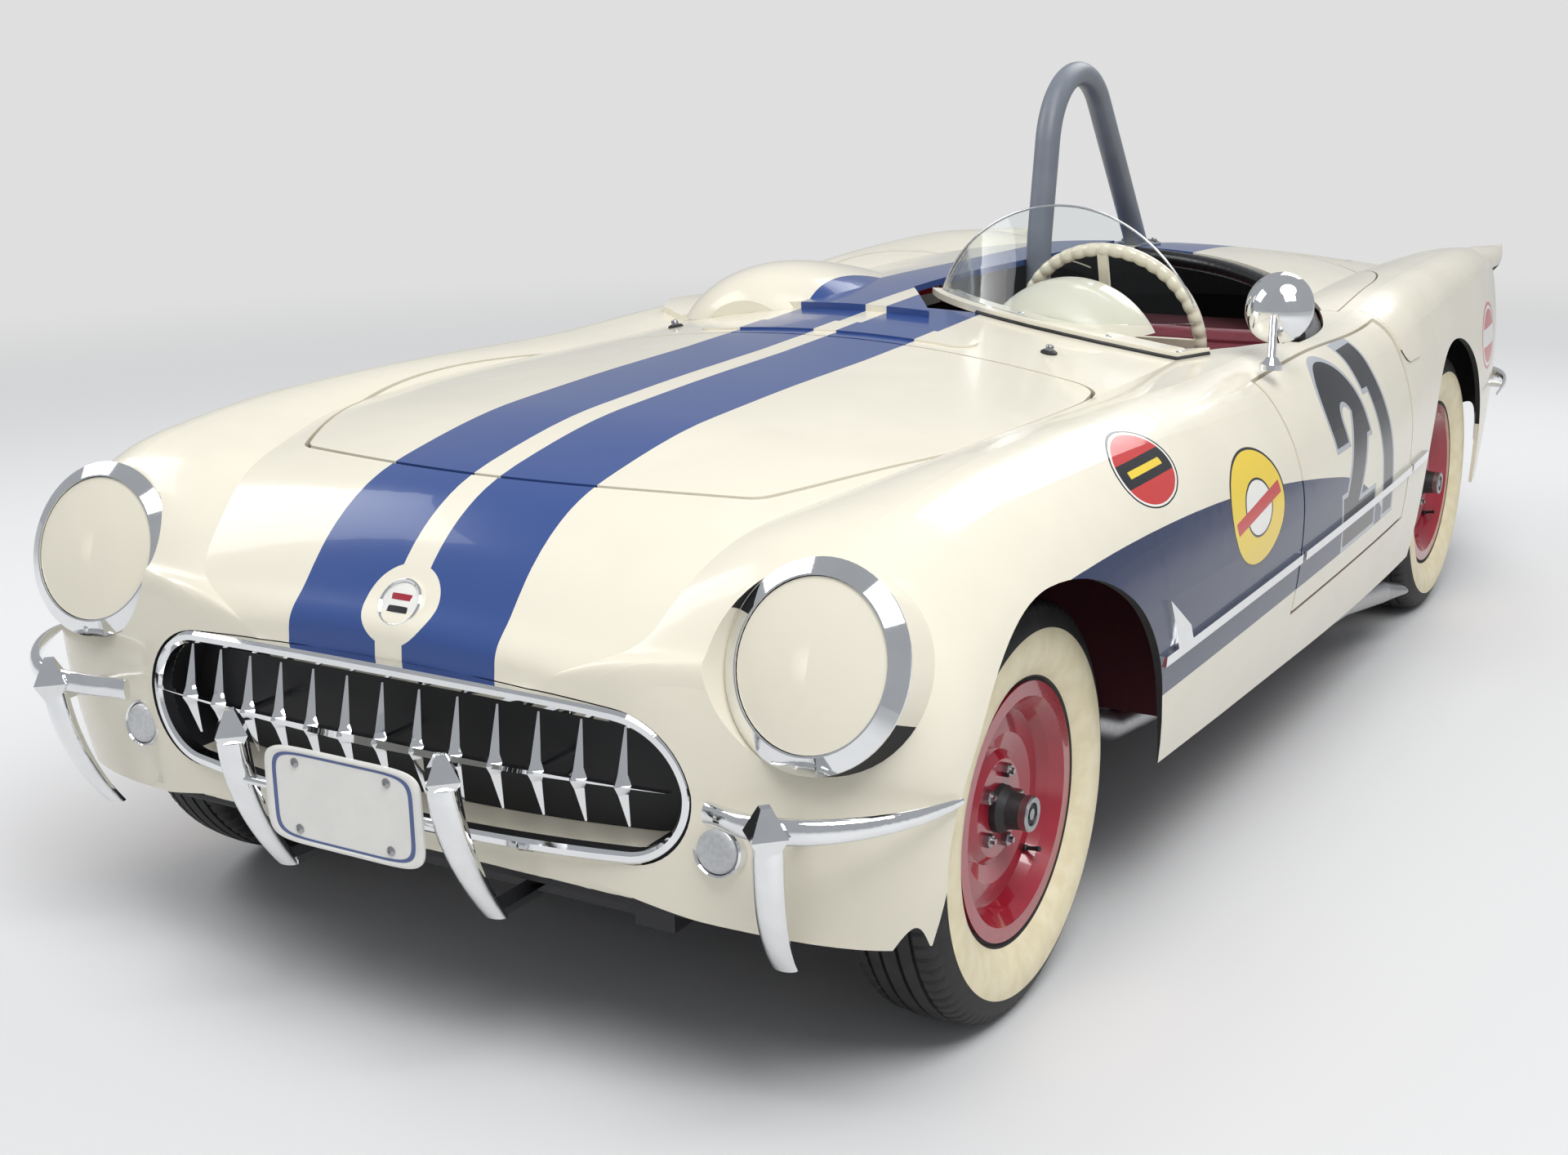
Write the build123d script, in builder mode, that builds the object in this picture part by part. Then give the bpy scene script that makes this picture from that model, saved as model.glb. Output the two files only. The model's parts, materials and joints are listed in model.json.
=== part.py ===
from build123d import *
from math import acos, atan2, cos, degrees, radians, sin
import os

# Full-size fibreglass two-seat roadster of the early 1950s in race trim.
# The front faces -Y, the car's left side is +X, +Z is up and the ground is Z = 0.
# Stations are distances behind the front axle.

# Overall
FRONT_AXLE_Y = -1429.5
WHEELBASE = 2591.0
FRONT_TRACK = 1448.0
REAR_TRACK = 1494.0
WHEEL_Z = 337.0

# Tyres and wheels
TYRE_R = 337.0
TYRE_WIDTH = 170.0
TREAD_HALF = 54.0
TREAD_DROP = 5.0
BEAD_R = 190.0
FLANGE_R = 205.5
RIM_HALF = 63.0
DRUM_R = 148.0
DRUM_DEPTH = 66.0
HUB_R = 38.0
HUB_BORE_R = 21.0
SPINDLE_R = 19.0
CAP_R = 30.0
FIT = 1.0

# Body skin and gaps
SKIN = 14.0
GAP = 7.0
ARCH_INNER_X = 560.0
NOSE_WALL = 20.0
COVER_LIFT = 14.0

# Doors
DOOR_FRONT = 1035.0
DOOR_REAR = 1925.0
DOOR_INNER_X = 800.0
DOOR_BOTTOM_Z = 396.0
DOOR_REAR_TAPER = 18.0

# Hood and lids
HOOD_NOSE = -283.0
HOOD_CORNER = -207.0
HOOD_CORNER_X = 456.0
HOOD_REAR = 765.0
HOOD_REAR_X = 600.0
TRUNK_FRONT = 2735.0
TRUNK_REAR = 3390.0
TRUNK_FRONT_X = 520.0
TRUNK_REAR_X = 440.0
TRUNK_GAP = 11.0

# Cockpit
COWL_REAR = 1100.0
COWL_END = 1290.0
COWL_END_X = 690.0
COCKPIT_MID = 1431.0
COCKPIT_X = 776.0
COCKPIT_REAR = 2450.0
FLOOR_Z = 262.0
FLOOR_WALL = 14.0
TUB_X = 770.0
FIREWALL = 720.0
BULKHEAD = 2150.0
BULKHEAD_TOP = 760.0
BULKHEAD_X = 540.0
FIREWALL_TOP = 800.0
WHEELHOUSE = 2060.0
SHELF_REAR = 2440.0
TUNNEL_X = 150.0
TUNNEL_TOP = 430.0

# Nose
GRILLE_TOP = 620.0
GRILLE_BOTTOM = 367.0
GRILLE_HALF = 526.0
GRILLE_END_Z = 497.0
GRILLE_TOP_KNEE = (405.0, 607.0)
GRILLE_LOW_KNEE = (420.0, 377.0)
GRILLE_RIM = 19.0
GRILLE_BEVEL = 5.0
GRILLE_DEPTH = 26.0
GRILLE_FRONT = -560.0
GRILLE_END = -520.0
GRILLE_FLARE = 40.0
TOOTH_COUNT = 13
TOOTH_PITCH = 70.2
TOOTH_Z = 501.0
TOOTH_TOP = 589.0
TOOTH_LOW = 425.0
TOOTH_DROOP = 10.0
TOOTH_R = 18.0
TOOTH_DEPTH = 17.0
TOOTH_TIP = 2.0
TOOTH_RISE = 15.0
TOOTH_PROUD = 20.0
TOOTH_SETBACK = 16.0
BAR_END_X = 500.0
BAR_PROUD = 14.0
BAR_R = 7.0
BAR_DEPTH = 12.0
STRUT_R = 6.0
STRUT_STEP = 4
LAMP_X = 691.0
LAMP_STATION = -456.0
LAMP_Z = 691.0
LAMP_R = 148.0
LAMP_TILT = 19.5
LAMP_TOE = 5.0
POD_LENGTH = 170.0
BEZEL_DEPTH = 17.0
BEZEL_INNER_R = 121.0
COVER_DOME = 9.0
LAMP_FIT = 3.0

# Chassis
RAIL_X = 395.0
RAIL_WIDTH = 70.0
RAIL_HEIGHT = 100.0
RAIL_Z = 150.0
CROSS_HALF = 40.0
CROSS_INSET = 10.0
TOWER_HALF = 90.0
TOWER_LOW = 196.0
TOWER_TOP = 246.0
EYE_HALF = 15.0
KINGPIN_X = 612.0
ARM_LOW_Z = 218.0
ARM_HIGH_Z = 440.0
AXLE_TUBE_R = 38.0
DIFF_R = 125.0
DIFF_HALF = 150.0
ENGINE_WIDTH = 420.0
ENGINE_LENGTH = 760.0
ENGINE_HEIGHT = 540.0

# Controls and cabin
COLUMN_X = 385.0
WHEEL_STATION = 1372.0
HELM_Z = 862.0
HELM_R = 200.0
HELM_RIM_R = 13.0
COLUMN_TILT = 15.0
COLUMN_R = 22.0
COLUMN_LENGTH = 720.0
SEAT_X = 405.0
SEAT_WIDTH = 480.0

# Roll hoop, exhaust and trim
HOOP_R = 30.0
PIPE_R = 29.0

HOOD_MID = 300.0
HOOD_MID_X = 636.0
TRUNK_BOW = 46.0
DECK_ARM = 1925.0
DECK_ARM_X = 722.0
DECK_BEND = 2200.0
DECK_CORNER_X = 380.0
DECK_REAR = 2708.0
LID_GAP = 4.0
LID_CORNER = 66.0
COVER_EDGE = 34.0
COVER_LAP = 8.0
COVER_NECK = 1262.0
PAD_WIDTH = 40.0
PAD_DEPTH = 40.0
DASH_LOW = 720.0
DASH_WALL = 16.0
DASH_DROP = 6.0
HUMP_X = 330.0
HUMP_BASE = 890.0
BACKING_DEPTH = 90.0
BUCKET_DEPTH = 50.0
BEZEL_LIP = 3.0
PARK_X = 564.0
PARK_STATION = -524.0
PARK_Z = 423.0
PARK_R = 34.0
PLATE_X = -132.0
PLATE_WIDTH = 300.0
PLATE_HEIGHT = 152.0
PLATE_LOW = 362.0
PLATE_STATION = -668.0
PLATE_BAR_R = 6.0
PLATE_BAR_Z = 440.0
BRACKET_R = 9.0
TAIL_X = 690.0
TAIL_STATION = 3516.0
TAIL_Z = 706.0
TAIL_R = 45.0
SPRING_X = 585.0
SPRING_WIDTH = 50.0
SPRING_DEPTH = 30.0
SPRING_RISE = 55.0
SPRING_LEAF = 14.0
SPRING_HALF = 415.0
PIPE_BEND = 60.0
TIP_LENGTH = 110.0
TIP_HALF = (48.0, 17.0)
HOOP_BENDS = (300.0, 182.0)
FUEL_STATION = 2015.0
FUEL_Z = 818.0
FUEL_LENGTH = 165.0
FUEL_HEIGHT = 130.0
FUEL_CORNER = 48.0
FUEL_PROUD = 3.0
SPEAR_PROUD = 8.0
SPEAR_Z = 515.0
SPEAR_HALF = 9.0
SPEAR_FRONT = 292.0
SPEAR_REAR = 2098.0

# station and z of the roll hoop's bends
HOOP_ROUTE = [(1868, 430), (1869, 1000), (1983, 1652), (2560, 899)]

# x, station and z of the side pipe's bends
PIPE_ROUTE = [(190, 424, 446), (560, 480, 330), (640, 760, 212), (770, 1500, 205), (800, 1800, 208), (800, 2146, 149)]

# station, top z and half-width of the two cowl humps
COVER_HUMP = [(1040, 944, 110), (1120, 998, 210), (1230, 1010, 240), (1400, 990, 225), (1560, 958, 170), (1680, 920, 90)]
DASH_HUMP = [(1140, 934, 70), (1180, 972, 140), (1230, 992, 172), (1292, 998, 184)]

# x, station, z, heading in plan from the car's left, half-thickness and half-height of the bumper blades
FRONT_BLADE = [
    (566, -540, 486, -22, 11, 18),
    (630, -566, 493, -16, 13, 18),
    (700, -576, 499, 6, 13, 19),
    (776, -546, 504, 34, 11, 17),
    (840, -484, 509, 54, 8, 13),
    (882, -400, 514, 72, 3, 5),
]
REAR_BLADE = [
    (400, 3520, 470, 0, 8, 12),
    (500, 3526, 475, -4, 9, 18),
    (600, 3524, 480, -8, 10, 24),
    (696, 3508, 485, -20, 10, 25),
    (766, 3462, 490, -44, 9, 23),
    (814, 3388, 495, -64, 8, 20),
    (844, 3292, 500, -74, 7, 17),
    (862, 3190, 505, -80, 6, 13),
    (875, 3090, 510, -83, 4, 8),
    (884, 2990, 514, -85, 3, 5),
]

# z, x, station, half-width and half-depth of the upright guards
FRONT_HORN = [(264, 664, -506, 20, 12), (330, 672, -546, 22, 15), (410, 682, -574, 23, 18), (486, 688, -584, 22, 18)]
CENTRE_TUSK = [(266, 206, -566, 20, 13), (340, 206, -612, 23, 18), (430, 204, -648, 25, 22), (500, 203, -660, 24, 24)]
REAR_HORN = [(330, 640, 3524, 16, 8), (400, 640, 3532, 22, 14), (500, 640, 3536, 26, 18), (590, 640, 3532, 12, 8)]

# x, station, z and radius of the bosses on the guards
FRONT_BOSS = (688, -590, 497, 36)
CENTRE_BOSS = (203, -661, 512, 34)

# station offset from the axle and z of each wheel opening: foot, knee and top in front, knee, heel and foot behind
FRONT_ARCH = [(-396, 200), (-396, 380), (-110, 738), (321, 442), (393, 297), (430, 200)]
REAR_ARCH = [(-455, 200), (-455, 400), (-130, 735), (300, 400), (306, 300), (312, 200)]

# station and lower z along the chassis rails, which rise at the front and over the rear axle
RAIL_LINE = [(-430, 230), (150, 230), (400, 150), (2170, 150), (2420, 400), (2950, 400), (3250, 330)]

# station and z of the crossmembers between the rails
CROSSMEMBERS = [(-380, 230), (1000, 150), (1800, 150), (3180, 346)]

# x and station of the screen base's outer and inner edges
BASE_OUTER = [(12, 1262), (318, 1075), (664, 1196)]
BASE_INNER = [(76, 1262), (330, 1136), (604, 1205)]

# x and station of the racing screen's foot and head, with their heights
SCREEN_FOOT = [(30, 1254), (335, 1090), (648, 1193)]
SCREEN_HEAD = [(62, 1262), (360, 1203), (640, 1224)]
SCREEN_FOOT_Z = 930.0
SCREEN_HEAD_Z = 1165.0
SCREEN_WALL = 5.0
SCREEN_APEX = (363, 1153)

# x and station of the passenger cover's front edge
COVER_FRONT = [(128, 1012), (-156, 1044), (-693, 1253)]

# station, x, z, half-width and half-height of the tail pods, which end in a point
TAIL_POD = [(3040, 752, 852, 46, 46), (3240, 752, 842, 44, 44), (3400, 754, 838, 36, 34), (3480, 756, 846, 20, 20), (3546, 758, 861, 3, 4)]

# station and z of the side ornament's corners
ORNAMENT = [(350, 515), (418, 515), (394, 552), (290, 620)]

# x, station and z of the mirror's foot and of its head, with the head's facing
MIRROR_FOOT = (822, 1092, 880)
MIRROR_NECK = (806, 1150, 980)
MIRROR_HEAD = (806, 1186, 970)
MIRROR_FACING = (-0.10, -0.95, 0.25)
MIRROR_R = 70.0
MIRROR_DOME = 46.0
STEM_R = 8.0

# the raised vent across the cowl
VENT_X = 312.0
VENT_FRONT = 802.0
VENT_REAR = 890.0
VENT_PROUD = 4.0


def at(station):
    """Y of a station measured from the front axle."""
    return FRONT_AXLE_Y + station


# station, top z, valley x, valley z, crown x, crown z, widest x, widest z, rocker x, rocker z
SECTIONS = [
    (-553, 616, 200, 610, 240, 614, 320, 480, 260, 380),
    (-528, 650, 300, 638, 380, 646, 470, 480, 400, 330),
    (-494, 697, 400, 678, 545, 690, 640, 500, 570, 296),
    (-454, 743, 440, 718, 640, 746, 800, 530, 730, 286),
    (-400, 792, 456, 764, 680, 806, 876, 570, 832, 290),
    (-330, 832, 480, 806, 695, 842, 892, 595, 855, 300),
    (-207, 866, 520, 834, 698, 866, 902, 610, 864, 306),
    (0, 897, 580, 856, 702, 884, 908, 618, 868, 306),
    (140, 905, 598, 861, 705, 886, 910, 617, 869, 305),
    (280, 911, 612, 864, 708, 886, 912, 616, 870, 304),
    (600, 920, 620, 862, 716, 878, 915, 606, 872, 292),
    (940, 936, 614, 858, 728, 868, 917, 596, 872, 278),
    (1400, 952, 610, 864, 742, 872, 917, 588, 872, 260),
    (1900, 945, 606, 868, 754, 862, 909, 584, 868, 250),
    (2120, 942, 603, 874, 755, 890, 901, 586, 865, 250),
    (2300, 938, 600, 880, 756, 902, 893, 590, 862, 252),
    (2650, 926, 594, 878, 757, 910, 877, 600, 858, 260),
    (3000, 880, 566, 846, 747, 904, 860, 606, 842, 290),
    (3250, 820, 524, 788, 732, 876, 820, 604, 782, 322),
    (3400, 762, 472, 734, 706, 836, 782, 594, 722, 352),
    (3480, 696, 410, 676, 655, 775, 735, 570, 660, 388),
    (3512, 640, 350, 624, 575, 680, 664, 544, 590, 424),
]


def section_plane(station):
    """Plane across the car at a station, with local x to the car's left and local y up."""
    return Plane(origin=(0, at(station), 0), x_dir=(1, 0, 0), z_dir=(0, -1, 0))


def shoulder(crown_x, crown_z, wide_x, wide_z):
    """Point and direction where the crown's arc meets the side's arc."""
    radius = 0.75 * (wide_x - crown_x)
    across = wide_x - crown_x - radius
    down = crown_z - wide_z - radius
    step = (across * across + down * down) / (2 * across)
    turn = atan2(down / step, (step - across) / step)
    point = (crown_x + radius * cos(turn), crown_z - radius + radius * sin(turn))
    return point, (sin(turn), -cos(turn))


def hull(inset, drop, first, last):
    """Closed form of the body between two rows of the table, inset by a wall."""
    with BuildPart() as form:
        for row in SECTIONS[first:last]:
            station, top, vx, vz, cx, cz, wx, wz, rx, rz = row
            shift = 0.0
            if inset > 0 and row is SECTIONS[first]:
                shift = NOSE_WALL
            if inset > 0 and row is SECTIONS[last - 1]:
                shift = -SKIN
            top = top - inset
            valley = (vx, vz - inset)
            crown = (cx, cz - inset)
            wide = (wx - inset, wz)
            rocker = (rx - inset, rz - drop)
            point, direction = shoulder(crown[0], crown[1], wide[0], wide[1])
            with BuildSketch(section_plane(station + shift)):
                with BuildLine():
                    ThreePointArc((-valley[0], valley[1]), (0, top), valley)
                    TangentArc(crown, valley, tangent=(-1, 0))
                    TangentArc(crown, point, tangent=(1, 0))
                    TangentArc(point, wide, tangent=direction)
                    TangentArc(wide, rocker, tangent=(0, -1))
                    Line(rocker, (-rocker[0], rocker[1]))
                    TangentArc((-wide[0], wide[1]), (-rocker[0], rocker[1]), tangent=(0, -1))
                    TangentArc((-point[0], point[1]), (-wide[0], wide[1]), tangent=(-direction[0], direction[1]))
                    TangentArc((-crown[0], crown[1]), (-point[0], point[1]), tangent=(-1, 0))
                    TangentArc((-crown[0], crown[1]), (-valley[0], valley[1]), tangent=(1, 0))
                make_face()
        loft()
    return form.part


def box(x, y, z):
    """Plain block between limits on each axis."""
    size = (x[1] - x[0], y[1] - y[0], z[1] - z[0])
    centre = ((x[0] + x[1]) / 2, (y[0] + y[1]) / 2, (z[0] + z[1]) / 2)
    return Pos(*centre) * Box(*size, mode=Mode.PRIVATE)


def rod(place, radius, low, high):
    """Round bar along the normal of a plane, between two heights above it."""
    centre = (low + high) / 2
    return place * (Pos(0, 0, centre) * Cylinder(radius, high - low, mode=Mode.PRIVATE))


def save(builder, name):
    """Label a finished piece and write its file."""
    builder.part.label = name
    export_step(builder.part, f"parts/{name}.step")


def door_block(side, gap):
    """Space of one door, with its rear face tapered so that the inner corner swings clear."""
    front = at(DOOR_FRONT) + gap
    rear = at(DOOR_REAR) - gap
    inside = DOOR_INNER_X + gap
    with BuildPart() as block:
        with BuildSketch(Plane.XY.offset(DOOR_BOTTOM_Z + gap)):
            with BuildLine():
                Polyline(
                    (side * inside, front),
                    (side * 1000, front),
                    (side * 1000, rear),
                    (side * 930, rear),
                    (side * inside, rear - DOOR_REAR_TAPER),
                    close=True,
                )
            make_face()
        extrude(amount=700)
    return block.part


def lamp_plane(side, back):
    """Plane across one headlamp, its normal pointing out of the lamp."""
    tilt = radians(LAMP_TILT)
    toe = radians(LAMP_TOE)
    normal = Vector(-side * sin(toe) * cos(tilt), -cos(toe) * cos(tilt), sin(tilt))
    centre = Vector(side * LAMP_X, at(LAMP_STATION), LAMP_Z) - normal * back
    return Plane(origin=centre, z_dir=normal)


def nose_station(x):
    """Station of the nose's front at a distance from the centre line."""
    return GRILLE_FRONT + (GRILLE_END - GRILLE_FRONT) * (x / GRILLE_HALF) ** 2


def grille_block(inset):
    """The grille's outline, seen from the front, carried along the car through the nose."""
    with BuildPart() as block:
        with BuildSketch(section_plane(-720)):
            with BuildLine():
                top_x, top_z = GRILLE_TOP_KNEE
                low_x, low_z = GRILLE_LOW_KNEE
                top = ThreePointArc((-top_x, top_z), (0, GRILLE_TOP), (top_x, top_z))
                low = ThreePointArc((-low_x, low_z), (0, GRILLE_BOTTOM), (low_x, low_z))
                top_way = top % 1
                low_way = low % 1
                for side in (-1, 1):
                    end = (side * GRILLE_HALF, GRILLE_END_Z)
                    TangentArc((side * top_x, top_z), end, tangent=(side * top_way.X, top_way.Y))
                    TangentArc((side * low_x, low_z), end, tangent=(side * low_way.X, low_way.Y))
            make_face()
            if inset:
                offset(amount=-inset)
        extrude(amount=-360)
    return block.part


def grille_slab(front, rear):
    """Slab that follows the nose's curve in plan, between two depths behind its front."""
    wide = GRILLE_HALF + GRILLE_FLARE
    ends = at(nose_station(wide))
    middle = at(GRILLE_FRONT)
    with BuildPart() as slab:
        with BuildSketch(Plane.XY.offset(250)):
            with BuildLine():
                ThreePointArc((-wide, ends + front), (0, middle + front), (wide, ends + front))
                Line((wide, ends + front), (wide, ends + rear))
                ThreePointArc((wide, ends + rear), (0, middle + rear), (-wide, ends + rear))
                Line((-wide, ends + rear), (-wide, ends + front))
            make_face()
        extrude(amount=450)
    return slab.part


def cockpit_block(inset, low, high):
    """Cockpit opening in plan: bowed cowl edge, nearly straight sides, elliptical rear."""
    half = COCKPIT_X - inset
    end_x = COWL_END_X - inset
    end_y = at(COWL_END) + inset
    middle = at(COCKPIT_MID)
    reach = COCKPIT_REAR - COCKPIT_MID - inset
    with BuildPart() as block:
        with BuildSketch(Plane.XY.offset(low)):
            with BuildLine():
                ThreePointArc((-end_x, end_y), (0, at(COWL_REAR) + inset), (end_x, end_y))
                Line((end_x, end_y), (half, middle))
                EllipticalCenterArc((0, middle), half, reach, start_angle=0, arc_size=180)
                Line((-half, middle), (-end_x, end_y))
            make_face()
        extrude(amount=high - low)
    return block.part


def hood_block(gap):
    """Hood outline in plan, with rounded corners."""
    nose = at(HOOD_NOSE) + gap
    corner = at(HOOD_CORNER) + gap
    rear = at(HOOD_REAR) - gap
    front_x = HOOD_CORNER_X - gap
    mid_x = HOOD_MID_X - gap
    rear_x = HOOD_REAR_X - gap
    with BuildPart() as block:
        with BuildSketch(Plane.XY.offset(700)) as outline:
            with BuildLine():
                ThreePointArc((-front_x, corner), (0, nose), (front_x, corner))
                ThreePointArc((front_x, corner), (mid_x, at(HOOD_MID)), (rear_x, rear))
                Line((rear_x, rear), (-rear_x, rear))
                ThreePointArc((-rear_x, rear), (-mid_x, at(HOOD_MID)), (-front_x, corner))
            make_face()
            fillet(outline.vertices(), radius=LID_CORNER - gap)
        extrude(amount=400)
    return block.part


def trunk_block(gap):
    """Trunk lid outline in plan, wider in front, with a bowed rear edge."""
    front = at(TRUNK_FRONT) + gap
    rear = at(TRUNK_REAR) - gap
    front_x = TRUNK_FRONT_X - gap
    rear_x = TRUNK_REAR_X - gap
    with BuildPart() as block:
        with BuildSketch(Plane.XY.offset(600)) as outline:
            with BuildLine():
                Line((-front_x, front), (front_x, front))
                Line((front_x, front), (rear_x, rear - TRUNK_BOW))
                ThreePointArc((rear_x, rear - TRUNK_BOW), (0, rear), (-rear_x, rear - TRUNK_BOW))
                Line((-rear_x, rear - TRUNK_BOW), (-front_x, front))
            make_face()
            fillet(outline.vertices(), radius=LID_CORNER - gap)
        extrude(amount=500)
    return block.part


def deck_block(gap):
    """Deck lid outline in plan, with arms that run forward beside the cockpit."""
    arm = DECK_ARM_X - gap
    front = at(DECK_ARM) + gap
    bend = at(DECK_BEND) - gap
    corner_x = DECK_CORNER_X - gap
    rear = at(DECK_REAR) - gap
    with BuildPart() as block:
        with BuildSketch(Plane.XY.offset(600)) as outline:
            with BuildLine():
                Line((-arm, front), (arm, front))
                Line((arm, front), (arm, bend))
                TangentArc((arm, bend), (corner_x, rear), tangent=(0, 1))
                Line((corner_x, rear), (-corner_x, rear))
                TangentArc((-arm, bend), (-corner_x, rear), tangent=(0, 1))
                Line((-arm, bend), (-arm, front))
            make_face()
            fillet(outline.vertices().group_by(Axis.Y)[-1], radius=LID_CORNER - gap)
        extrude(amount=500)
    return block.part


def cover_block(gap):
    """Passenger cover in plan, from the cowl to the deck and from the outer sill to the hoop."""
    half = COCKPIT_X + COVER_LAP - gap
    reach = COCKPIT_REAR - COCKPIT_MID + COVER_LAP - gap
    inner = COVER_EDGE + gap
    start = degrees(acos(-inner / half))
    tip, middle, corner = [(x, at(station) + gap) for x, station in COVER_FRONT]
    with BuildPart() as block:
        with BuildSketch(Plane.XY.offset(600)):
            with BuildLine():
                ThreePointArc(tip, middle, corner)
                rear = EllipticalCenterArc((0, at(COCKPIT_MID)), half, reach, start_angle=start, arc_size=180 - start)
                Line(corner, rear @ 1)
                Polyline(rear @ 0, (-inner, at(COVER_NECK)), tip)
            make_face()
        extrude(amount=600)
    return block.part


def crescent_block(gap):
    """Screen base in plan, between its outer and inner bows."""
    outer_left, outer_mid, outer_right = [(x, at(station)) for x, station in BASE_OUTER]
    inner_left, inner_mid, inner_right = [(x, at(station)) for x, station in BASE_INNER]
    with BuildPart() as block:
        with BuildSketch(Plane.XY.offset(700)):
            with BuildLine():
                ThreePointArc(outer_left, outer_mid, outer_right)
                Line(outer_right, inner_right)
                ThreePointArc(inner_right, inner_mid, inner_left)
                Line(inner_left, outer_left)
            make_face()
            if gap:
                offset(amount=gap)
        extrude(amount=500)
    return block.part


def arch_block(side, axle, rows):
    """Wheel opening seen from the side, carried outward from the wheel's inner side."""
    foot, knee, top, heel, low, end = [(at(axle + station), z) for station, z in rows]
    place = Plane(origin=(side * ARCH_INNER_X, 0, 0), x_dir=(0, 1, 0), z_dir=(1, 0, 0))
    with BuildPart() as block:
        with BuildSketch(place):
            with BuildLine():
                Line(foot, knee)
                TangentArc(top, knee, tangent=(-1, 0))
                TangentArc(top, heel, tangent=(1, 0))
                Polyline(heel, low, end, foot)
            make_face()
        extrude(amount=side * 440)
    return block.part


def hump(centre_x, rows, base):
    """Moulded hump on the cowl, lofted from arched sections of station, top and half-width."""
    with BuildPart() as bump:
        for station, top, half in rows:
            with BuildSketch(section_plane(station)):
                with BuildLine():
                    ThreePointArc((centre_x - half, base), (centre_x, top), (centre_x + half, base))
                    Line((centre_x + half, base), (centre_x - half, base))
                make_face()
        loft()
    return bump.part


os.makedirs("parts", exist_ok=True)

# The moulded body: outer form with lamp pods, hollowed by the inner form
outer = hull(0.0, 0.0, 0, len(SECTIONS))
inner = hull(SKIN, 60.0, 3, len(SECTIONS) - 1)
nose_form = outer & box((-1000, 1000), (at(-720), at(-150)), (0, 1000))
crest_form = outer & box((-840, 840), (at(750), at(2600)), (800, 1100))
tail_form = outer & box((-1000, 1000), (at(2850), at(3700)), (0, 1000))
sides = (-1, 1)
flanks = {side: outer & box(sorted((side * 760, side * 1000)), (at(200), at(2200)), (480, 900)) for side in sides}
pods = [rod(lamp_plane(side, 0), LAMP_R - FIT, -POD_LENGTH, 0) for side in sides]
collars = [nose_form & rod(lamp_plane(side, 0), LAMP_R + SKIN, -POD_LENGTH, 60) for side in sides]
buckets = [rod(lamp_plane(side, 0), BEZEL_INNER_R, -BUCKET_DEPTH, 200) for side in sides]
lamp_fronts = [rod(lamp_plane(side, 0), LAMP_R + LAMP_FIT, 0, 200) for side in sides]
cockpit = cockpit_block(0.0, 600, 1300)
front_zone = [
    box((-1000, 1000), (at(-720), at(DOOR_FRONT)), (0, 1200)),
    box((-DOOR_INNER_X, DOOR_INNER_X), (at(DOOR_FRONT), at(COCKPIT_MID - 100)), (700, 1200)),
]
rear_zone = [
    box((-1000, 1000), (at(DOOR_REAR), at(3700)), (0, 1200)),
    box((-DOOR_INNER_X, DOOR_INNER_X), (at(COCKPIT_MID - 100), at(DOOR_REAR)), (700, 1200)),
]

with BuildPart() as body_front:
    add(outer)
    add(front_zone[0] + front_zone[1], mode=Mode.INTERSECT)
    add(inner, mode=Mode.SUBTRACT)
    add(cockpit, mode=Mode.SUBTRACT)
    add(hood_block(0.0), mode=Mode.SUBTRACT)
    add([arch_block(side, 0.0, FRONT_ARCH) for side in sides], mode=Mode.SUBTRACT)
    add(collars)
    add(pods)
    add(lamp_fronts, mode=Mode.SUBTRACT)
    add(buckets, mode=Mode.SUBTRACT)
    add(grille_block(GRILLE_RIM), mode=Mode.SUBTRACT)
    add(grille_block(-FIT) & grille_slab(-60, GRILLE_DEPTH), mode=Mode.SUBTRACT)
save(body_front, "body_front")


def tail_pod(side):
    """Slim pod on top of the rear fender, which runs out behind in a point."""
    with BuildPart() as form:
        for station, x, z, half, height in TAIL_POD:
            with BuildSketch(section_plane(station)):
                with Locations((side * x, z)):
                    Ellipse(half, height)
        loft()
    return form.part


with BuildPart() as body_rear:
    add(outer)
    add(rear_zone[0] + rear_zone[1], mode=Mode.INTERSECT)
    add(inner, mode=Mode.SUBTRACT)
    add(cockpit, mode=Mode.SUBTRACT)
    add(deck_block(0.0), mode=Mode.SUBTRACT)
    add(trunk_block(0.0), mode=Mode.SUBTRACT)
    add([arch_block(side, WHEELBASE, REAR_ARCH) for side in sides], mode=Mode.SUBTRACT)
    add([tail_pod(side) for side in sides])
save(body_rear, "body_rear")

with BuildPart() as sills:
    add(outer)
    add(box((-1000, 1000), (at(DOOR_FRONT), at(DOOR_REAR)), (0, DOOR_BOTTOM_Z)), mode=Mode.INTERSECT)
    add(inner, mode=Mode.SUBTRACT)
save(sills, "sills")

for side, name in ((1, "door_left"), (-1, "door_right")):
    with BuildPart() as door:
        add(outer)
        add(door_block(side, GAP), mode=Mode.INTERSECT)
    save(door, name)

with BuildPart() as hood:
    add(outer)
    add(hood_block(GAP), mode=Mode.INTERSECT)
    add(inner, mode=Mode.SUBTRACT)
save(hood, "hood")

with BuildPart() as trunk_lid:
    add(outer)
    add(trunk_block(TRUNK_GAP), mode=Mode.INTERSECT)
    add(inner, mode=Mode.SUBTRACT)
save(trunk_lid, "trunk_lid")

with BuildPart() as deck_lid:
    add(outer)
    add(deck_block(LID_GAP), mode=Mode.INTERSECT)
    add(cockpit_block(-LID_GAP, 600, 1300), mode=Mode.SUBTRACT)
    add(inner, mode=Mode.SUBTRACT)
save(deck_lid, "deck_lid")

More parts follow.
